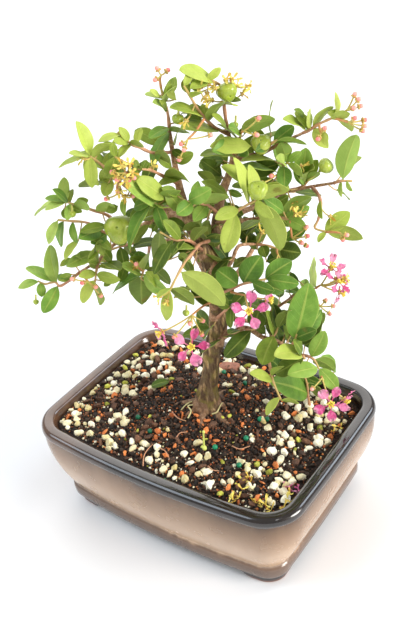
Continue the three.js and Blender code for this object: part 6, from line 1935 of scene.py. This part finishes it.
def make_bark_chip(look):
    """A thick flake of bark, half bedded in the mound beside the trunk."""
    points, faces = BALLS[4]
    corners = np.sign(points) * np.abs(points) ** 0.62
    half = np.array([BARK_CHIP["length"], BARK_CHIP["width"], BARK_CHIP["thickness"]]) / 2
    dents = [1 + 0.16 * noise.noise(Vector(point) * 1.7) + 0.05 * noise.noise(Vector(point) * 6)
             for point in points]
    shape = corners * half * np.array(dents)[:, None]
    turn = math.radians(BARK_CHIP["turn"])
    cosine, sine = math.cos(turn), math.sin(turn)
    spin = np.array([[cosine, -sine, 0], [sine, cosine, 0], [0, 0, 1]])
    place = on_soil(BARK_CHIP["column"], BARK_CHIP["row"]) + [0, 0, 0.6]
    skin = Skin()
    skin.add((shape @ spin.T + place, [faces]), tone=0.6)
    skin.piece("bark_chip_flake", look, "bark_chip", "bark_chip")


def make_floor(look):
    """A level sheet that reaches far beyond the picture, eight metres wide."""
    half = 4.0
    mesh = bpy.data.meshes.new("floor")
    corners = [(-half, -half, 0), (half, -half, 0), (half, half, 0), (-half, half, 0)]
    mesh.from_pydata(corners, [], [(0, 1, 2, 3)])
    mesh.materials.append(look)
    floor = bpy.data.objects.new("floor", mesh)
    bpy.context.scene.collection.objects.link(floor)


def make_window(name, direction, strength, spread, colour, mirrored):
    """Far soft light from one direction, as wide as a window that spans a number of degrees."""
    data = bpy.data.lights.new(name, "SUN")
    data.angle = math.radians(spread)
    data.energy = strength
    data.color = colour
    lamp = bpy.data.objects.new(name, data)
    lamp.location = Vector(direction)
    lamp.visible_glossy = mirrored
    lamp.rotation_euler = Vector(direction).to_track_quat("Z", "Y").to_euler()
    bpy.context.scene.collection.objects.link(lamp)


SKY_STRENGTH = 0.47
# Windows: a name, the direction they lie in, strength, width in degrees, colour, and whether they
# show as a reflection in the glaze.
WINDOWS = [
    ["right_window", (0.93, 0.15, 0.33), 3.8, 30, (1.0, 0.97, 0.92), True],
    ["back_left_window", (-0.52, 0.66, 0.54), 1.2, 55, (1.0, 0.98, 0.96), True],
    ["front_left_window", (-0.52, -0.36, 0.775), 1.3, 38, (0.76, 0.87, 1.0), True],
    ["back_right_window", (0.37, 0.66, 0.65), 0.9, 26, (0.78, 0.88, 1.0), True],
    ["front_window", (-0.45, -0.85, 0.28), 0.9, 50, (1.0, 0.98, 0.94), False],
    ["small_lamp", (0.45, -0.31, 0.83), 0.14, 5, (1.0, 1.0, 1.0), True],
]


def make_light():
    """A pale room with a strong warm window to the right, weaker ones on the other sides, and a
    small lamp."""
    world = bpy.data.worlds.new("studio")
    world.use_nodes = True
    sky = world.node_tree.nodes["Background"]
    sky.inputs["Color"].default_value = (1.0, 0.99, 0.98, 1)
    sky.inputs["Strength"].default_value = SKY_STRENGTH
    bpy.context.scene.world = world
    for window in WINDOWS:
        make_window(*window)


def make_camera():
    """A camera that sees every column and row where the tables say."""
    data = bpy.data.cameras.new("viewer")
    data.sensor_width = 36
    data.lens = VIEW_FOCAL / FRAME_HEIGHT * data.sensor_width
    data.dof.use_dof = False
    camera = bpy.data.objects.new("viewer", data)
    place = Matrix([VIEW_RIGHT, VIEW_UP, VIEW_BACK]).transposed().to_4x4()
    place.translation = EYE * MM
    camera.matrix_world = place
    bpy.context.scene.collection.objects.link(camera)
    bpy.context.scene.camera = camera


def make_all():
    looks = all_looks()
    make_pot(looks["glaze"])
    make_soil(looks["soil"])
    make_grains(looks)
    make_crumbs(looks)
    make_bark_chip(looks["chip"])
    make_litter(looks)
    make_trunk(looks["bark"])
    make_shoots(looks)
    make_more_leaves(looks)
    make_flowers(looks)
    make_spent_flowers(looks)
    make_fruits(looks)
    for node in ("drain_screen_1", "drain_screen_2"):
        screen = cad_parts[node].data
        screen.materials.clear()
        screen.materials.append(looks["screen"])
    make_floor(looks["floor"])


make_all()
make_light()
make_camera()
bpy.context.scene.view_settings.view_transform = "Standard"
bpy.context.view_layer.update()
